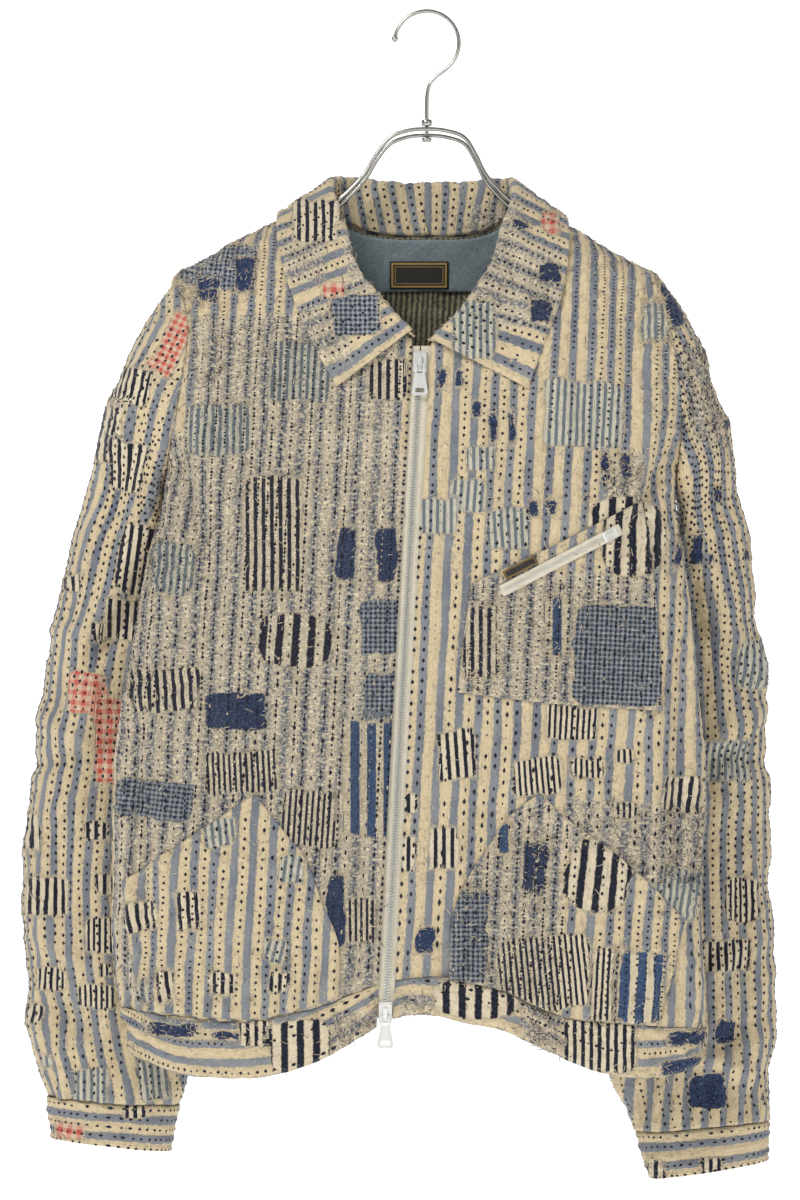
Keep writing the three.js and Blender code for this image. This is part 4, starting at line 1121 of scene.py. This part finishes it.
# Sleeves. Each is one panel rolled into a tube, set into the dropped armhole, with its stripes
# along the arm. They hang beside and a little behind the body, creased across at the elbow.
sleeve_rings = {
    "left": [[-224, -249, -215, -383, 0, 34], [-240, -282, -217, -397, 6, 34],
        [-256, -315, -217.5, -412, 14, 33], [-266, -356, -214, -430, 21, 32],
        [-276, -392, -209, -450, 25, 31], [-289, -430, -204, -475, 27, 30],
        [-300, -480, -200, -508, 28, 29], [-310, -530, -199, -548, 29, 28],
        [-318, -590, -201, -600, 30, 28], [-326, -660, -204, -665, 31, 27],
        [-329, -716, -205, -718, 31, 27], [-326, -775, -200, -775, 31, 27],
        [-319, -835, -192, -840, 31, 27], [-311, -866, -196, -872, 30, 26],
        [-309, -877, -201, -884, 30, 25]],
    "right": [[208, -245, 203.5, -383, 0, 34], [222, -277, 205, -397, 6, 34],
        [235, -310, 205, -412, 14, 33], [246, -345, 201, -430, 20, 32],
        [254, -382, 195, -450, 25, 31], [261, -425, 187, -475, 29, 30],
        [267, -470, 179, -508, 32, 29], [273, -520, 171, -548, 34, 28],
        [277, -580, 163, -600, 35, 27], [279, -645, 158, -660, 36, 27],
        [279, -700, 155, -712, 36, 27], [282, -765, 151, -770, 36, 27],
        [284, -828, 150, -838, 35, 27], [281, -860, 154, -866, 34, 26],
        [279, -897, 170, -906, 33, 25]],
}
sleeve_scraps = {
    "left": [
        ("red", -203, -270, 9.5, 26, 25, 0.7), ("ink", -237, -303, 15.2, 14.4, 12, 0.68),
        ("ink", -254, -340, 12.4, 21.6, 10), ("ink", -240, -367, 13.2, 19.2, 8),
        ("ink", -286, -460, 7.2, 6), ("ink", -260, -500, 8.4, 8),
        ("ink", -234, -441, 14.4, 27.6, 8), ("ink", -242, -490, 16, 16, 4),
        ("red", -275, -549, 15.2, 16, 4), ("red", -256, -588, 11.6, 33.2),
        ("ink", -319, -661, 6.4, 14), ("ink", -267, -660, 9.2, 8),
        ("ink", -308, -714, 18, 15.6, -3), ("ink", -260, -703, 7.2, 8.4),
        ("ink", -264, -745, 11.6, 13.6, 0, 0.68), ("ink", -304, -781, 12, 8.4, 4, 0.68),
        ("ink", -258, -773, 5.6, 5.2, 0, 0.68), ("ink", -267, -794, 14, 10, 0, 0.68),
        ("ink", -317, -810, 6, 8.4, 0, 0.68), ("pale", -271, -867, 13.6, 14),
        ("pale", -222, -862, 10.8, 15.6, -6), ("pale", -307, -848, 4, 6),
    ],
    "right": [
        ("indigo", 190, -240, 10.4, 17.6, -30), ("indigo", 133, -189, 14.8, 11.2, -30),
        ("indigo", 239, -332, 2.4, 4.8), ("indigo", 237, -390, 3.6, 5.6),
        ("indigo", 217, -433, 4.4, 12.8), ("indigo", 230, -440, 2.8, 4.4),
        ("indigo", 257, -438, 2, 5.2), ("pale", 263, -526, 11.2, 19.6, 4),
        ("pale", 242, -604, 20, 16.8, 4), ("ink", 255, -717, 13.2, 17.2, 0, 0.68),
        ("ink", 242, -762, 20.4, 12.8), ("indigo", 243, -824, 8, 8.8),
        ("indigo", 227, -872, 14.4, 13.6), ("indigo", 272, -877, 1.6, 3.2),
        ("mend", 218, -310, 11, 40, -12),
    ],
}
sleeve_folds = {
    "left": [
        (-232, -262, -248, -400, 9, 3.0), (-215, -300, -262, -420, 9, -2.6),
        (-214, -400, -285, -520, 10, 3.2), (-222, -470, -305, -560, 9, -3.4),
        (-326, -560, -240, -615, 9, 3.4), (-332, -610, -250, -600, 7, -3.2),
        (-322, -655, -232, -610, 8, 2.6), (-268, -430, -282, -640, 14, 2.6),
        (-262, -640, -258, -830, 14, 3.4), (-300, -660, -296, -840, 9, -3.2),
        (-228, -660, -222, -820, 9, -2.4), (-326, -740, -260, -780, 9, 2.4),
        (-324, -800, -240, -835, 8, -2.6), (-310, -850, -230, -800, 8, 2.2),
        (-318, -500, -250, -500, 8, 1.8), (-208, -330, -212, -425, 6, 1.7),
    ],
    "right": [
        (194, -340, 198, -430, 6, 1.7), (216, -262, 228, -400, 9, 3.0),
        (206, -300, 242, -420, 9, -2.6), (204, -400, 256, -520, 10, 3.0),
        (200, -470, 268, -560, 9, -3.4), (282, -560, 190, -610, 9, 3.4),
        (284, -610, 200, -590, 7, -3.0), (278, -650, 180, -620, 8, 2.6),
        (236, -430, 238, -640, 14, 2.4), (226, -640, 222, -850, 14, 3.4),
        (256, -660, 256, -850, 9, -3.0), (196, -660, 190, -840, 9, -2.4),
        (284, -740, 210, -790, 9, 2.4), (284, -810, 200, -850, 8, -2.6),
        (280, -870, 190, -820, 8, 2.2), (276, -500, 210, -505, 8, 1.8),
    ],
}


SLEEVE_POWER, HALF_ROUND = 2.3, 46


def ring_place(ring, angle):
    """A ring's point: between its outer and inner points by a superellipse."""
    out_x, out_z, in_x, in_z, middle, depth = ring
    cosine, sine = np.cos(angle), np.sin(angle)
    along = (1 - np.sign(cosine) * np.abs(cosine) ** (2 / SLEEVE_POWER)) / 2
    y = middle - depth * np.sign(sine) * np.abs(sine) ** (2 / SLEEVE_POWER)
    return np.stack([mix(out_x, in_x, along), y, mix(out_z, in_z, along)], -1)


def armhole_place(side, angle):
    """The armhole's edge, moved out from the body by the seam's gap."""
    along = (1 - np.cos(angle)) / 2
    z = mix(tip_z[side], UNDERARM_Z, along)
    x = arm_x[side](z)
    y = np.where(np.sin(angle) >= 0, body_y(True, x, z), body_y(False, x, z))
    return np.stack([x + turned[side] * 0.7 * (0.6 + along), y, z - 2.0 * along], -1)


def rolled(side, rings, columns, rows, first):
    """A tube's grid: at each angle a smooth path runs through the armhole's and rings' points."""
    angles = np.linspace(0, 2 * np.pi, columns + 1)
    stations = [armhole_place(side, angles)] if first else []
    stations += [ring_place(ring, angles) for ring in rings]
    stations = np.stack(stations)
    paths = [route(stations[:, i])(np.linspace(0, 1, rows + 1)) for i in range(columns)]
    return np.stack([*paths, paths[0]], 1)


def tube_grain(tube, start_column):
    """Length round the tube from the middle of its front, and length down its middle."""
    around = steps_of(tube, 1).cumsum(1)
    around = np.concatenate([np.zeros_like(around[:, :1]), around], 1)
    down = steps_of(tube.mean(1)).cumsum()
    down = np.r_[0, down][:, None] + np.zeros(tube.shape[1])
    return np.stack([around - around[:, start_column:start_column + 1], -down], -1)


for side, seed, area, low_x, high_x, end in (("left", 4, 0.158, -304, -202, -884),
                                             ("right", 5, 0.157, 176, 276, -904)):
    tube = rolled(side, sleeve_rings[side], 2 * HALF_ROUND, 190, True)
    x, z = tube[..., 0], tube[..., 2]
    behind = np.arange(2 * HALF_ROUND + 1) > HALF_ROUND
    outer = through([[ring[1], ring[0]] for ring in sleeve_rings[side]])
    inward = np.maximum((outer(z) - x) * turned[side], 0)
    wound = (inward + 22 * (1 - np.exp(-inward / 8))) * np.where(behind, -1, 1)
    cuff_gathers = [(at, end + 2, at + 3, end + 44, 4.5, 1.6 * (1 if k % 2 else -1))
                    for k, at in enumerate(np.arange(low_x, high_x, 8.5))]
    sew("sleeve_" + side, tube, -turned[side], tube_grain(tube, HALF_ROUND // 2), hung_xz(x, z),
        sleeve_scraps[side], sleeve_folds[side] + cuff_gathers, CLOTH, seed,
        ((0.34, 0.69), area, ["front_" + side, "back"]), closed=True, ripple=0.6, mends=1100,
        scrap_at=hung_xz(x, np.where(behind, z + 96, z)), dyed=hung_xz(wound, z),
        calm=np.clip(np.linspace(0.05, 16, 191), 0, 1)[:, None])

# Cuffs. Bands cut across the stripes and closed by a seam at the back of the arm.
cuff_rings = {
    "left": [[-309, -878, -201, -885, 30, 24], [-305, -911, -209, -922, 30, 23]],
    "right": [[279, -898, 170.5, -907, 33, 24], [278, -930, 183, -945, 33, 23]],
}
cuff_scraps = {
    "left": [
        ("ink", -236, -887, 9.2, 4.8), ("red", -289, -904, 10.8, 7.2, 6),
    ],
    "right": [
        ("ink", 187, -937, 6.4, 9.2), ("ink", 230, -934, 8, 8),
    ],
}
for side, seed in (("left", 21), ("right", 22)):
    tube = rolled(side, cuff_rings[side], 90, 14, False)
    cuff = np.swapaxes(np.roll(tube[:, :-1], -68, 1), 0, 1)
    cuff = np.concatenate([cuff, cuff[:1]])
    around, down = np.r_[0, steps_of(cuff[:, 7]).cumsum()], steps_of(cuff[0]).cumsum()
    grain = np.stack(np.broadcast_arrays(np.r_[0, down][None, :] + 4, around[:, None]), -1)
    sew("cuff_" + side, cuff, turned[side], grain, hung_xz(cuff[..., 0], cuff[..., 2]),
        cuff_scraps[side], [], CLOTH, seed, ((0.28, 0.036), 0.0086, ["sleeve_" + side]),
        mends=40, ripple=0.4, trim=(("start", 1.2), ("end", 1.2)))

# Collar. One cloth stands up from the neck seam, turns over at the roll and falls outside in two
# pointed leaves; it is cut across the stripes, quilted through, and soft enough to ripple.
collar_rows = [
    [-14, -58, -261, -72, -57, -305], [-31, -56, -244, -90, -54, -272],
    [-56, -48, -213, -107, -47, -233], [-70, -32, -176, -118, -30, -196],
    [-77, -8, -140, -121, 0, -163], [-66, 17, -134, -112, 24, -181],
    [-36, 29, -136, -68, 37, -198], [-2, 33, -137, -2, 40, -202],
    [32, 29, -136, 64, 37, -198], [62, 17, -135, 105, 24, -181],
    [71, -8, -142, 113, 0, -165], [64, -33, -176, 113, -31, -197],
    [50, -49, -213, 106, -48, -236], [27, -57, -247, 94, -55, -268],
    [5, -60, -268, 80, -59, -306]]
collar_scraps = [
    ("check", -57, -248, 19.2, 15.2), ("ink", -89, -171, 18.4, 17.6), ("red", -74, -228, 8, 6),
    ("indigo", 75, -175, 6.8, 4), ("indigo", 98, -214, 8, 7.6), ("indigo", 90, -245, 9.2, 8.4),
    ("red", 100, -172, 6.8, 8.8), ("pale", 37, -260, 16.4, 23.6), ("mend", 54, -206, 20, 52),
    ("mend", -55, -206, 10.8, 28), ("mend", -82, -262, 22, 22), ("mend", -98, -205, 16, 16),
    ("mend", 88, -226, 18, 32),
]
collar_folds = [
    (-60, -170, -100, -215, 8, 1.8), (-80, -215, -96, -285, 8, 1.6),
    (-46, -240, -80, -292, 7, -1.6), (56, -170, 98, -215, 8, 1.8), (70, -220, 96, -280, 8, 1.6),
    (36, -250, 80, -294, 7, -1.6), (-40, -140, -46, -180, 7, 1.6), (10, -140, 12, -190, 8, -1.6),
    (40, -140, 46, -180, 7, 1.6),
]
STAND_SHARE, ROLL_SHARE, ROLL_RADIUS = 0.3, 0.42, 2.6
collar_paths = [through([[i / 14, row[k]] for i, row in enumerate(collar_rows)]) for k in range(6)]


def neck_seam(t):
    """The foot of the stand: up the left front, round the back and down the right front."""
    part = 4 / 14
    pieces = []
    for side, share, front in (("left", t / part, True), ("left", (0.5 - t) / (0.5 - part), False),
                               ("right", (t - 0.5) / (0.5 - part), False),
                               ("right", (1 - t) / part, True)):
        place = (neckline if front else back_neckline)[side](np.clip(share, 0, 1))
        x, z = place[..., 0], place[..., 1]
        pieces.append(np.stack([x - turned[side] * ROLL_RADIUS, body_y(front, x, z),
                                z + ROLL_RADIUS], -1))
    which = np.searchsorted([part, 0.5, 1 - part], t, side="right")[..., None]
    return np.choose(which, pieces)


def clear_of_body(p):
    """Keeps the fall just outside the body where it lies on it."""
    x, y, z = p[..., 0], p[..., 1], p[..., 2]
    lower = z - 5
    left = x < centre_x(z)
    start = np.where(left, side_x["left"](NECK_Z), side_x["right"](NECK_Z))
    end = np.where(left, side_x["left"](tip_z["left"]), side_x["right"](tip_z["right"]))
    near = np.clip((x - start) / (end - start), 0, 1)
    top = mix(NECK_Z, np.where(left, tip_z["left"], tip_z["right"]), near)
    ahead = y < side_y(z)
    clear = np.where(ahead, np.minimum(y, body_y(True, x, lower) - 3.0),
                     np.maximum(y, body_y(False, x, lower) + 3.0))
    return np.stack([x, np.where(lower > top, y, clear), z], -1)


s, q = mesh_grid(210, 52)
row = [path(s) for path in collar_paths]
ahead = [path(np.minimum(s + 0.01, 1)) - path(np.maximum(s - 0.01, 0)) for path in collar_paths[:3]]
roll, edge = np.stack(row[:3], -1), np.stack(row[3:], -1)
fall = unit(edge - roll)
away = unit(np.cross(np.stack(ahead, -1), fall))
q = q[..., None]
stand = mix(neck_seam(s), roll - away * ROLL_RADIUS, q / STAND_SHARE)
angle = np.pi * (q - STAND_SHARE) / 0.12
over = roll - away * ROLL_RADIUS * np.cos(angle) - fall * ROLL_RADIUS * np.sin(angle)
leaf = clear_of_body(mix(roll + away * ROLL_RADIUS, edge, (q - ROLL_SHARE) / (1 - ROLL_SHARE)))
collar = np.where(q < STAND_SHARE, stand, np.where(q < ROLL_SHARE, over, leaf))
length, depth = steps_of(roll[0]).cumsum(), steps_of(collar[:, 105]).cumsum()
collar_grain = np.stack(np.broadcast_arrays(np.r_[0, length][None, :] - length[-1] / 2,
                                            np.r_[0, depth][:, None]), -1)
sew("collar", collar, -1, collar_grain, hung_xz(collar[..., 0], collar[..., 2]),
    collar_scraps, collar_folds, CLOTH, 6,
    ((0.6, 0.1), 0.043, ["front_left", "front_right", "back"]), mends=260, ripple=0.45,
    lined=False, trim=(("high", 2.0), ("start", 2.0), ("end", 2.0)))

# Pockets and chest patch. Lower pockets with slanted mouths, and a wide patch across the chest,
# are sewn onto the fronts, so each is a four-sided outline that lies on the front's own folds.
pocket_edges = {
    "pocket_left": [
        [[-69, -786], [-100, -796.5], [-130, -803.5], [-160, -804], [-222, -799]],
        [[-136, -627], [-190, -663], [-241, -697]],
        [[-69, -786], [-70, -744], [-84, -709], [-96, -677], [-110, -660], [-136, -627]],
        [[-222, -799], [-233, -760], [-241, -697]]],
    "pocket_right": [
        [[17, -772], [60, -782], [109, -803], [140, -807], [182, -811]],
        [[88, -626], [112, -648], [154, -679], [203, -727]],
        [[17, -772], [20, -722], [32, -693], [48, -668], [66, -643], [88, -626]],
        [[182, -811], [194, -770], [203, -727]]],
    "pocket_chest": [
        [[24, -547], [100, -556], [186, -562]],
        [[35, -461], [100, -431], [172, -394]],
        [[24, -547], [29, -500], [35, -461]],
        [[186, -562], [181, -480], [172, -394]]],
}
pocket_scraps = {
    "pocket_left": [
        ("pale", -164, -657, 12.4, 11.2, -8), ("pale", -107, -686, 9.2, 11.2, 8),
        ("ink", -229, -725, 16.4, 11.6, -10), ("ink", -188, -719, 10, 14.8, -3),
        ("pale", -120, -750, 8, 9.2, 14), ("ink", -205, -779, 6.8, 12, -8),
        ("ink", -161, -776, 10, 9.2), ("ink", -116, -775, 7.6, 7.2, 3),
        ("pale", -224, -783, 3.6, 9.2, -4),
    ],
    "pocket_right": [
        ("mend", 62, -718, 44.8, 84), ("mend", 158, -654, 52, 20), ("check", 32, -739, 15.6, 35.6),
        ("indigo", 80, -685, 5.2, 20.4, 4), ("indigo", 90, -687, 3.6, 22.4, 4),
        ("ink", 134, -692, 25.6, 28, 6, 1.9), ("ink", 93, -768, 36.4, 29.6, -6, 0.68),
        ("ink", 142, -778, 12, 29.6, 3, 0.68), ("blue", 168, -780, 18.4, 27.6, 3),
        ("blue", 60, -662, 6.4, 12.4),
    ],
    "pocket_chest": [
        ("mend", 106, -509, 84, 54.8), ("ink", 42, -507, 12.8, 28.4),
        ("blue", 102, -495, 9.2, 22.4), ("check", 151, -518, 36, 39.6, 3),
        ("mend", 170, -474, 20, 20), ("ink", 163, -427, 24.8, 28.8, 2, 1.9),
    ],
}


def on_front(edges, s, t, distance, folds=(), seed=1, ripple=0.0):
    """A grid inside four edges that lies on a front, moved out along the front's normals by a
    distance and by the front's folds and puckers."""
    place = within(*(route(edge) for edge in edges))(s, t)
    x, z = place[..., 0], place[..., 1]
    panel = np.stack([x, body_y(True, x, z), z], -1)
    out = normals(panel)
    out *= -np.sign(out[..., 1].mean())
    rise = folded(place, folds) + (puckers(place, seed, FINE_PUCKERS, ripple) if ripple else 0)
    return panel + out * (distance + rise)[..., None], place


ON_CLOTH = CLOTH / 2 + 1.0
for name, side, seed, columns, shift, flat, area in (
    ("pocket_left", "left", 1, 66, 4.0, (0.19, 0.18), 0.0225),
    ("pocket_right", "right", 2, 66, 9.0, (0.2, 0.18), 0.0229),
    ("pocket_chest", "right", 2, 62, 9.0, (0.17, 0.17), 0.0196),
):
    s, t = mesh_grid(columns, columns)
    pocket, place = on_front(pocket_edges[name], s, t, ON_CLOTH + THIN_CLOTH / 2 + 0 * s)
    grain = np.stack([round_way(True, place[..., 0], place[..., 1]) + shift, place[..., 1]], -1)
    sew(name, pocket, -turned[side], grain, place, pocket_scraps[name],
        front_folds[side] + gathers(*front_reach[side], seam_z, 46), THIN_CLOTH, seed,
        (flat, area, ["front_" + side]), mends=240,
        trim=(("high", 1.6), ("start", 1.6), ("end", 1.6)))

# Zips. Cream woven tapes carry two rows of small cast teeth that lock into one chain. The front
# zip's tapes are sewn behind the fronts' folded edges; the chest zip lies slantwise on its patch.
def herringbone(name="zip_tape_weave"):
    """Cream tape: fine slanted ribs that turn over at the middle of each 1.2 mm."""
    look, shader = plain(name, (0.7, 0.64, 0.52), 0.9)
    tree = look.node_tree
    across, along = axes(tree, "cloth")
    rib = calc(tree, "PINGPONG", add(tree, along, calc(tree, "PINGPONG", across, 1.2)), 0.45)
    colour = shade(tree, cloud(tree, point_of(tree, across, along), 2.5, 9), dye(232, 222, 196),
                   dye(252, 246, 230))
    colour = shade(tree, times(tree, rib, 0.9), colour, dye(214, 202, 174))
    tree.links.new(colour, shader.inputs["Base Color"])
    emboss(tree, shader, rib, 0.0006)
    return look


def metal(name, bright, dark, roughness, grain, solid=1.0):
    """Cast or drawn metal: patchy tone and roughness, with fine scratches in its relief."""
    look, shader = plain(name, (0.6, 0.6, 0.6), roughness, solid)
    tree = look.node_tree
    place = tree.nodes.new("ShaderNodeTexCoord").outputs["Object"]
    patches = cloud(tree, place, 0.006, 0.006, 3.0)
    scratches = cloud(tree, place, 0.0008, 0.0008 * grain, 3.0, 2.0)
    tree.links.new(shade(tree, patches, dark, bright), shader.inputs["Base Color"])
    rough = level(tree, scratches, 0.2, roughness - 0.1)
    tree.links.new(rough, shader.inputs["Roughness"])
    emboss(tree, shader, scratches, 0.0001, 0.4)
    return look


tape_cloth = herringbone()
zip_metal = metal("zip_aluminium", dye(244, 243, 238), dye(206, 206, 202), 0.4, 1, 0.5)
hanger_steel = metal("hanger_satin_steel", dye(200, 198, 192), dye(150, 148, 142), 0.26, 6)


def teeth(name, centre, along, across, out, half, long, high):
    """A row of teeth: each a block with a narrower, rounded nose, alternately from either side."""
    n = len(centre)
    side = np.where(np.arange(n) % 2, 1.0, -1.0)[:, None]
    corners = []
    for a, w, h in ((-1, -1, 0), (1, -1, 0), (0.7, 0.55, 0), (-0.7, 0.55, 0),
                    (-0.7, -0.9, 1), (0.7, -0.9, 1), (0.45, 0.4, 1), (-0.45, 0.4, 1)):
        corners.append(centre + along * a * long / 2 + across * side * (-w) * half
                       + out * (h * high))
    points = np.stack(corners, 1)
    block = np.array([[0, 3, 2, 1], [4, 5, 6, 7], [0, 1, 5, 4], [1, 2, 6, 5], [2, 3, 7, 6],
                      [3, 0, 4, 7]])
    index = block[None] + 8 * np.arange(n)[:, None, None]
    index[side[:, 0] < 0] = index[side[:, 0] < 0][:, :, ::-1]
    piece = put(name, points.reshape(-1, 3), index.reshape(-1, 4), zip_metal, soft=False)
    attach(piece, "root")
    return piece


for side in ("left", "right"):
    s, t = mesh_grid(8, 260)
    z = mix(-804.0, -272.0, t)
    x = centre_x(z) + turned[side] * mix(0.4, 13, s)
    y = body_y(True, x, z) + CLOTH / 2 + 0.8 + 0.45
    slab("zip_tape_" + side, np.stack([x, y, z], -1), (0, -1, 0), 0.9, tape_cloth,
         np.stack([x - centre_x(z), z], -1), ["zip_tape_" + side])
tooth_z = np.arange(-792.0, -276.0, 1.25)
tooth_x = centre_x(tooth_z)
tooth = np.stack([tooth_x, body_y(True, tooth_x, tooth_z) + CLOTH / 2 + 1.0, tooth_z], -1)
down = unit(np.gradient(tooth, axis=0))
forth = np.cross(down, [1.0, 0, 0])
forth *= -np.sign(forth[:, 1:2])
teeth("front_zip_teeth", tooth, down, np.array([1.0, 0, 0]), forth, 3.0, 0.95, 1.8)

zip_start, zip_end = np.array([58, -467.5]), np.array([152, -418.5])
zip_way = (zip_end - zip_start) / np.hypot(*(zip_end - zip_start))
zip_side = np.array([-zip_way[1], zip_way[0]])
ON_CHEST = 1.0 + THIN_CLOTH + 0.4


def beside_zip(distance, out):
    """A place so far along the chest zip's line from its start, and so far beside it."""
    return zip_start + zip_way * distance + zip_side * out


def strip(low, high, start, end, lift, columns, rows):
    """A strip along the chest zip that rests on the patch, between two offsets from its line."""
    corners = [[beside_zip(start, low), beside_zip(end, low)],
               [beside_zip(start, high), beside_zip(end, high)]]
    edges = [corners[0], corners[1], [corners[0][0], corners[1][0]], [corners[0][1], corners[1][1]]]
    s, t = mesh_grid(columns, rows)
    middle, place = on_front(edges, s, t, CLOTH / 2 + lift + 0 * s, front_folds["right"], 2, 0.8)
    local = place - zip_start
    return middle, np.stack([local @ zip_side, local @ zip_way], -1)


chest_length = np.hypot(*(zip_end - zip_start))
middle, grain = strip(-4.6, 4.6, 0, chest_length, ON_CHEST + 0.55 + 0.45, 70, 8)
slab("chest_zip_tape", middle, (0, -1, 0), 0.9, tape_cloth, grain, ["chest_zip_tape"])
middle, grain = strip(-0.1, 0.1, 2, chest_length - 8, ON_CHEST + 1.4 + 0.5, 96, 1)
way = unit(np.gradient(middle[0], axis=0))
wide = unit(np.cross(way, [0, -1.0, 0]))
teeth("chest_zip_teeth", middle[0], way, wide, np.array([0, -1.0, 0]), 1.5, 0.85, 0.7)
middle, grain = strip(6.2, 13.4, 8, 36, ON_CHEST + 0.55 + 0.4, 20, 8)
slab("chest_label", middle, (0, -1, 0), LABEL, label_cloth("woven_chest_label", 28, 7.2),
     np.stack([grain[..., 1] - 22, grain[..., 0] - 9.8], -1), ["chest_label"])

# Sliders and pull tabs. Cast aluminium: each slider rides in the channel between the fronts'
# folded edges, and its tab hangs from the bridge on its own bar, which is the tab's hinge.
for node in ("zip_slider_top", "zip_slider_bottom", "chest_zip_slider", "zip_pull_top",
             "zip_pull_bottom"):
    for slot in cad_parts[node].material_slots:
        slot.material = zip_metal

# Hanger. One steel wire bent into a hook with a ball at its tip turns in a ferrule, which holds
# two rails of the same wire, one behind the other and a little lower.


def wire(name, points, radius, steps, nodes):
    """A round wire: a circle carried along the smooth path through points, on a frame that keeps
    level with Y, and closed at each end by a dome of two shrinking rings."""
    path = route(points)(np.linspace(0, 1, steps))
    way = unit(np.gradient(path, axis=0))
    up = unit(np.cross(way, [0, 1.0, 0]))
    size = np.full(steps, radius)
    domed = np.array([[0.5], [0.35]]) * radius
    path = np.concatenate([path[0] - way[0] * domed, path, path[-1] + way[-1] * domed[::-1]])
    up = np.concatenate([up[:1], up[:1], up, up[-1:], up[-1:]])
    size = np.r_[0.02, radius * 0.8, size, radius * 0.8, 0.02]
    way_all = np.concatenate([way[:1], way[:1], way, way[-1:], way[-1:]])
    return sweep(name, path, up, np.cross(up, way_all), size, nodes)


AROUND = 20


def sweep(name, path, up, side, size, nodes):
    """Rings of points about a path, joined into a tube whose ends close on small caps."""
    angle = np.linspace(0, 2 * np.pi, AROUND, endpoint=False)
    ring = (up[:, None] * np.cos(angle)[:, None] + side[:, None] * np.sin(angle)[:, None])
    points = path[:, None] + ring * size[:, None, None]
    n = len(path)
    index = np.arange(n * AROUND).reshape(n, AROUND)
    turned_on = np.roll(index, -1, 1)
    quads = np.stack([index[:-1], turned_on[:-1], turned_on[1:], index[1:]], -1).reshape(-1, 4)
    fan = range(0, AROUND - 3, 2)
    caps = [np.array([[0, AROUND - k - 1, AROUND - k - 2, AROUND - k - 3]]) for k in fan]
    caps += [np.array([[0, k + 1, k + 2, k + 3]]) + (n - 1) * AROUND for k in fan]
    faces = np.concatenate([quads, *caps])
    piece = put(name, points.reshape(-1, 3), faces, hanger_steel)
    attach(piece, "root")
    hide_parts(*nodes)
    return piece


WIRE, BEND, BALL = 1.6, 26, 2.7
hook_turns = np.radians(np.arange(172, -53, -16))
hook = np.stack([BEND * np.cos(hook_turns), 0 * hook_turns,
                 WIRE - BEND + BEND * np.sin(hook_turns)], 1)
hook = np.concatenate([hook, [[7.5, 0, -51.5], [2.5, 0, -57.5], [0.4, 0, -66], [0, 0, -76],
                              [0, 0, -86]]])
wire("hanger_hook", hook, WIRE, 150, ["hanger_hook"])
ball_turn = np.linspace(0.05, np.pi - 0.05, 14)
ball_path = hook[0] + np.stack([0 * ball_turn, 0 * ball_turn, BALL * np.cos(ball_turn)], 1)
straight = np.tile([[1.0, 0, 0]], (14, 1))
sweep("hanger_tip_ball", ball_path, straight, np.tile([[0, 1.0, 0]], (14, 1)),
      BALL * np.sin(ball_turn), [])
rail = [[-186, -217], [-158, -200.5], [-117, -181], [-90, -164.5], [-73, -152.6], [-58, -139],
        [-48.8, -128], [-39.2, -112.2], [-29, -100.5], [-15, -95.2], [0, -94], [15, -95.2],
        [30, -100.5], [39.2, -114], [47.2, -130], [58, -143], [69, -153.2], [85, -165],
        [109, -182.5], [142, -203], [170, -219]]
for name, y, drop in (("hanger_rail_front", -3.2, 0), ("hanger_rail_back", 3.2, 4.5)):
    wire(name, [[x, y, z - drop] for x, z in rail], WIRE, 200, [name])
profile = np.array([[0.05, -104], [3.4, -104], [4, -103.5], [4, -101.4], [3.6, -101], [1.5, -101],
                    [1.5, -91.4], [3.9, -91.4], [4.4, -90.9], [4.4, -86.8], [3.9, -86.3],
                    [0.05, -86.3]])
sweep("hanger_ferrule", np.stack([0 * profile[:, 0], 0 * profile[:, 0], profile[:, 1]], 1),
      np.tile([[1.0, 0, 0]], (12, 1)), np.tile([[0, 1.0, 0]], (12, 1)), profile[:, 0],
      ["hanger_ferrule"])
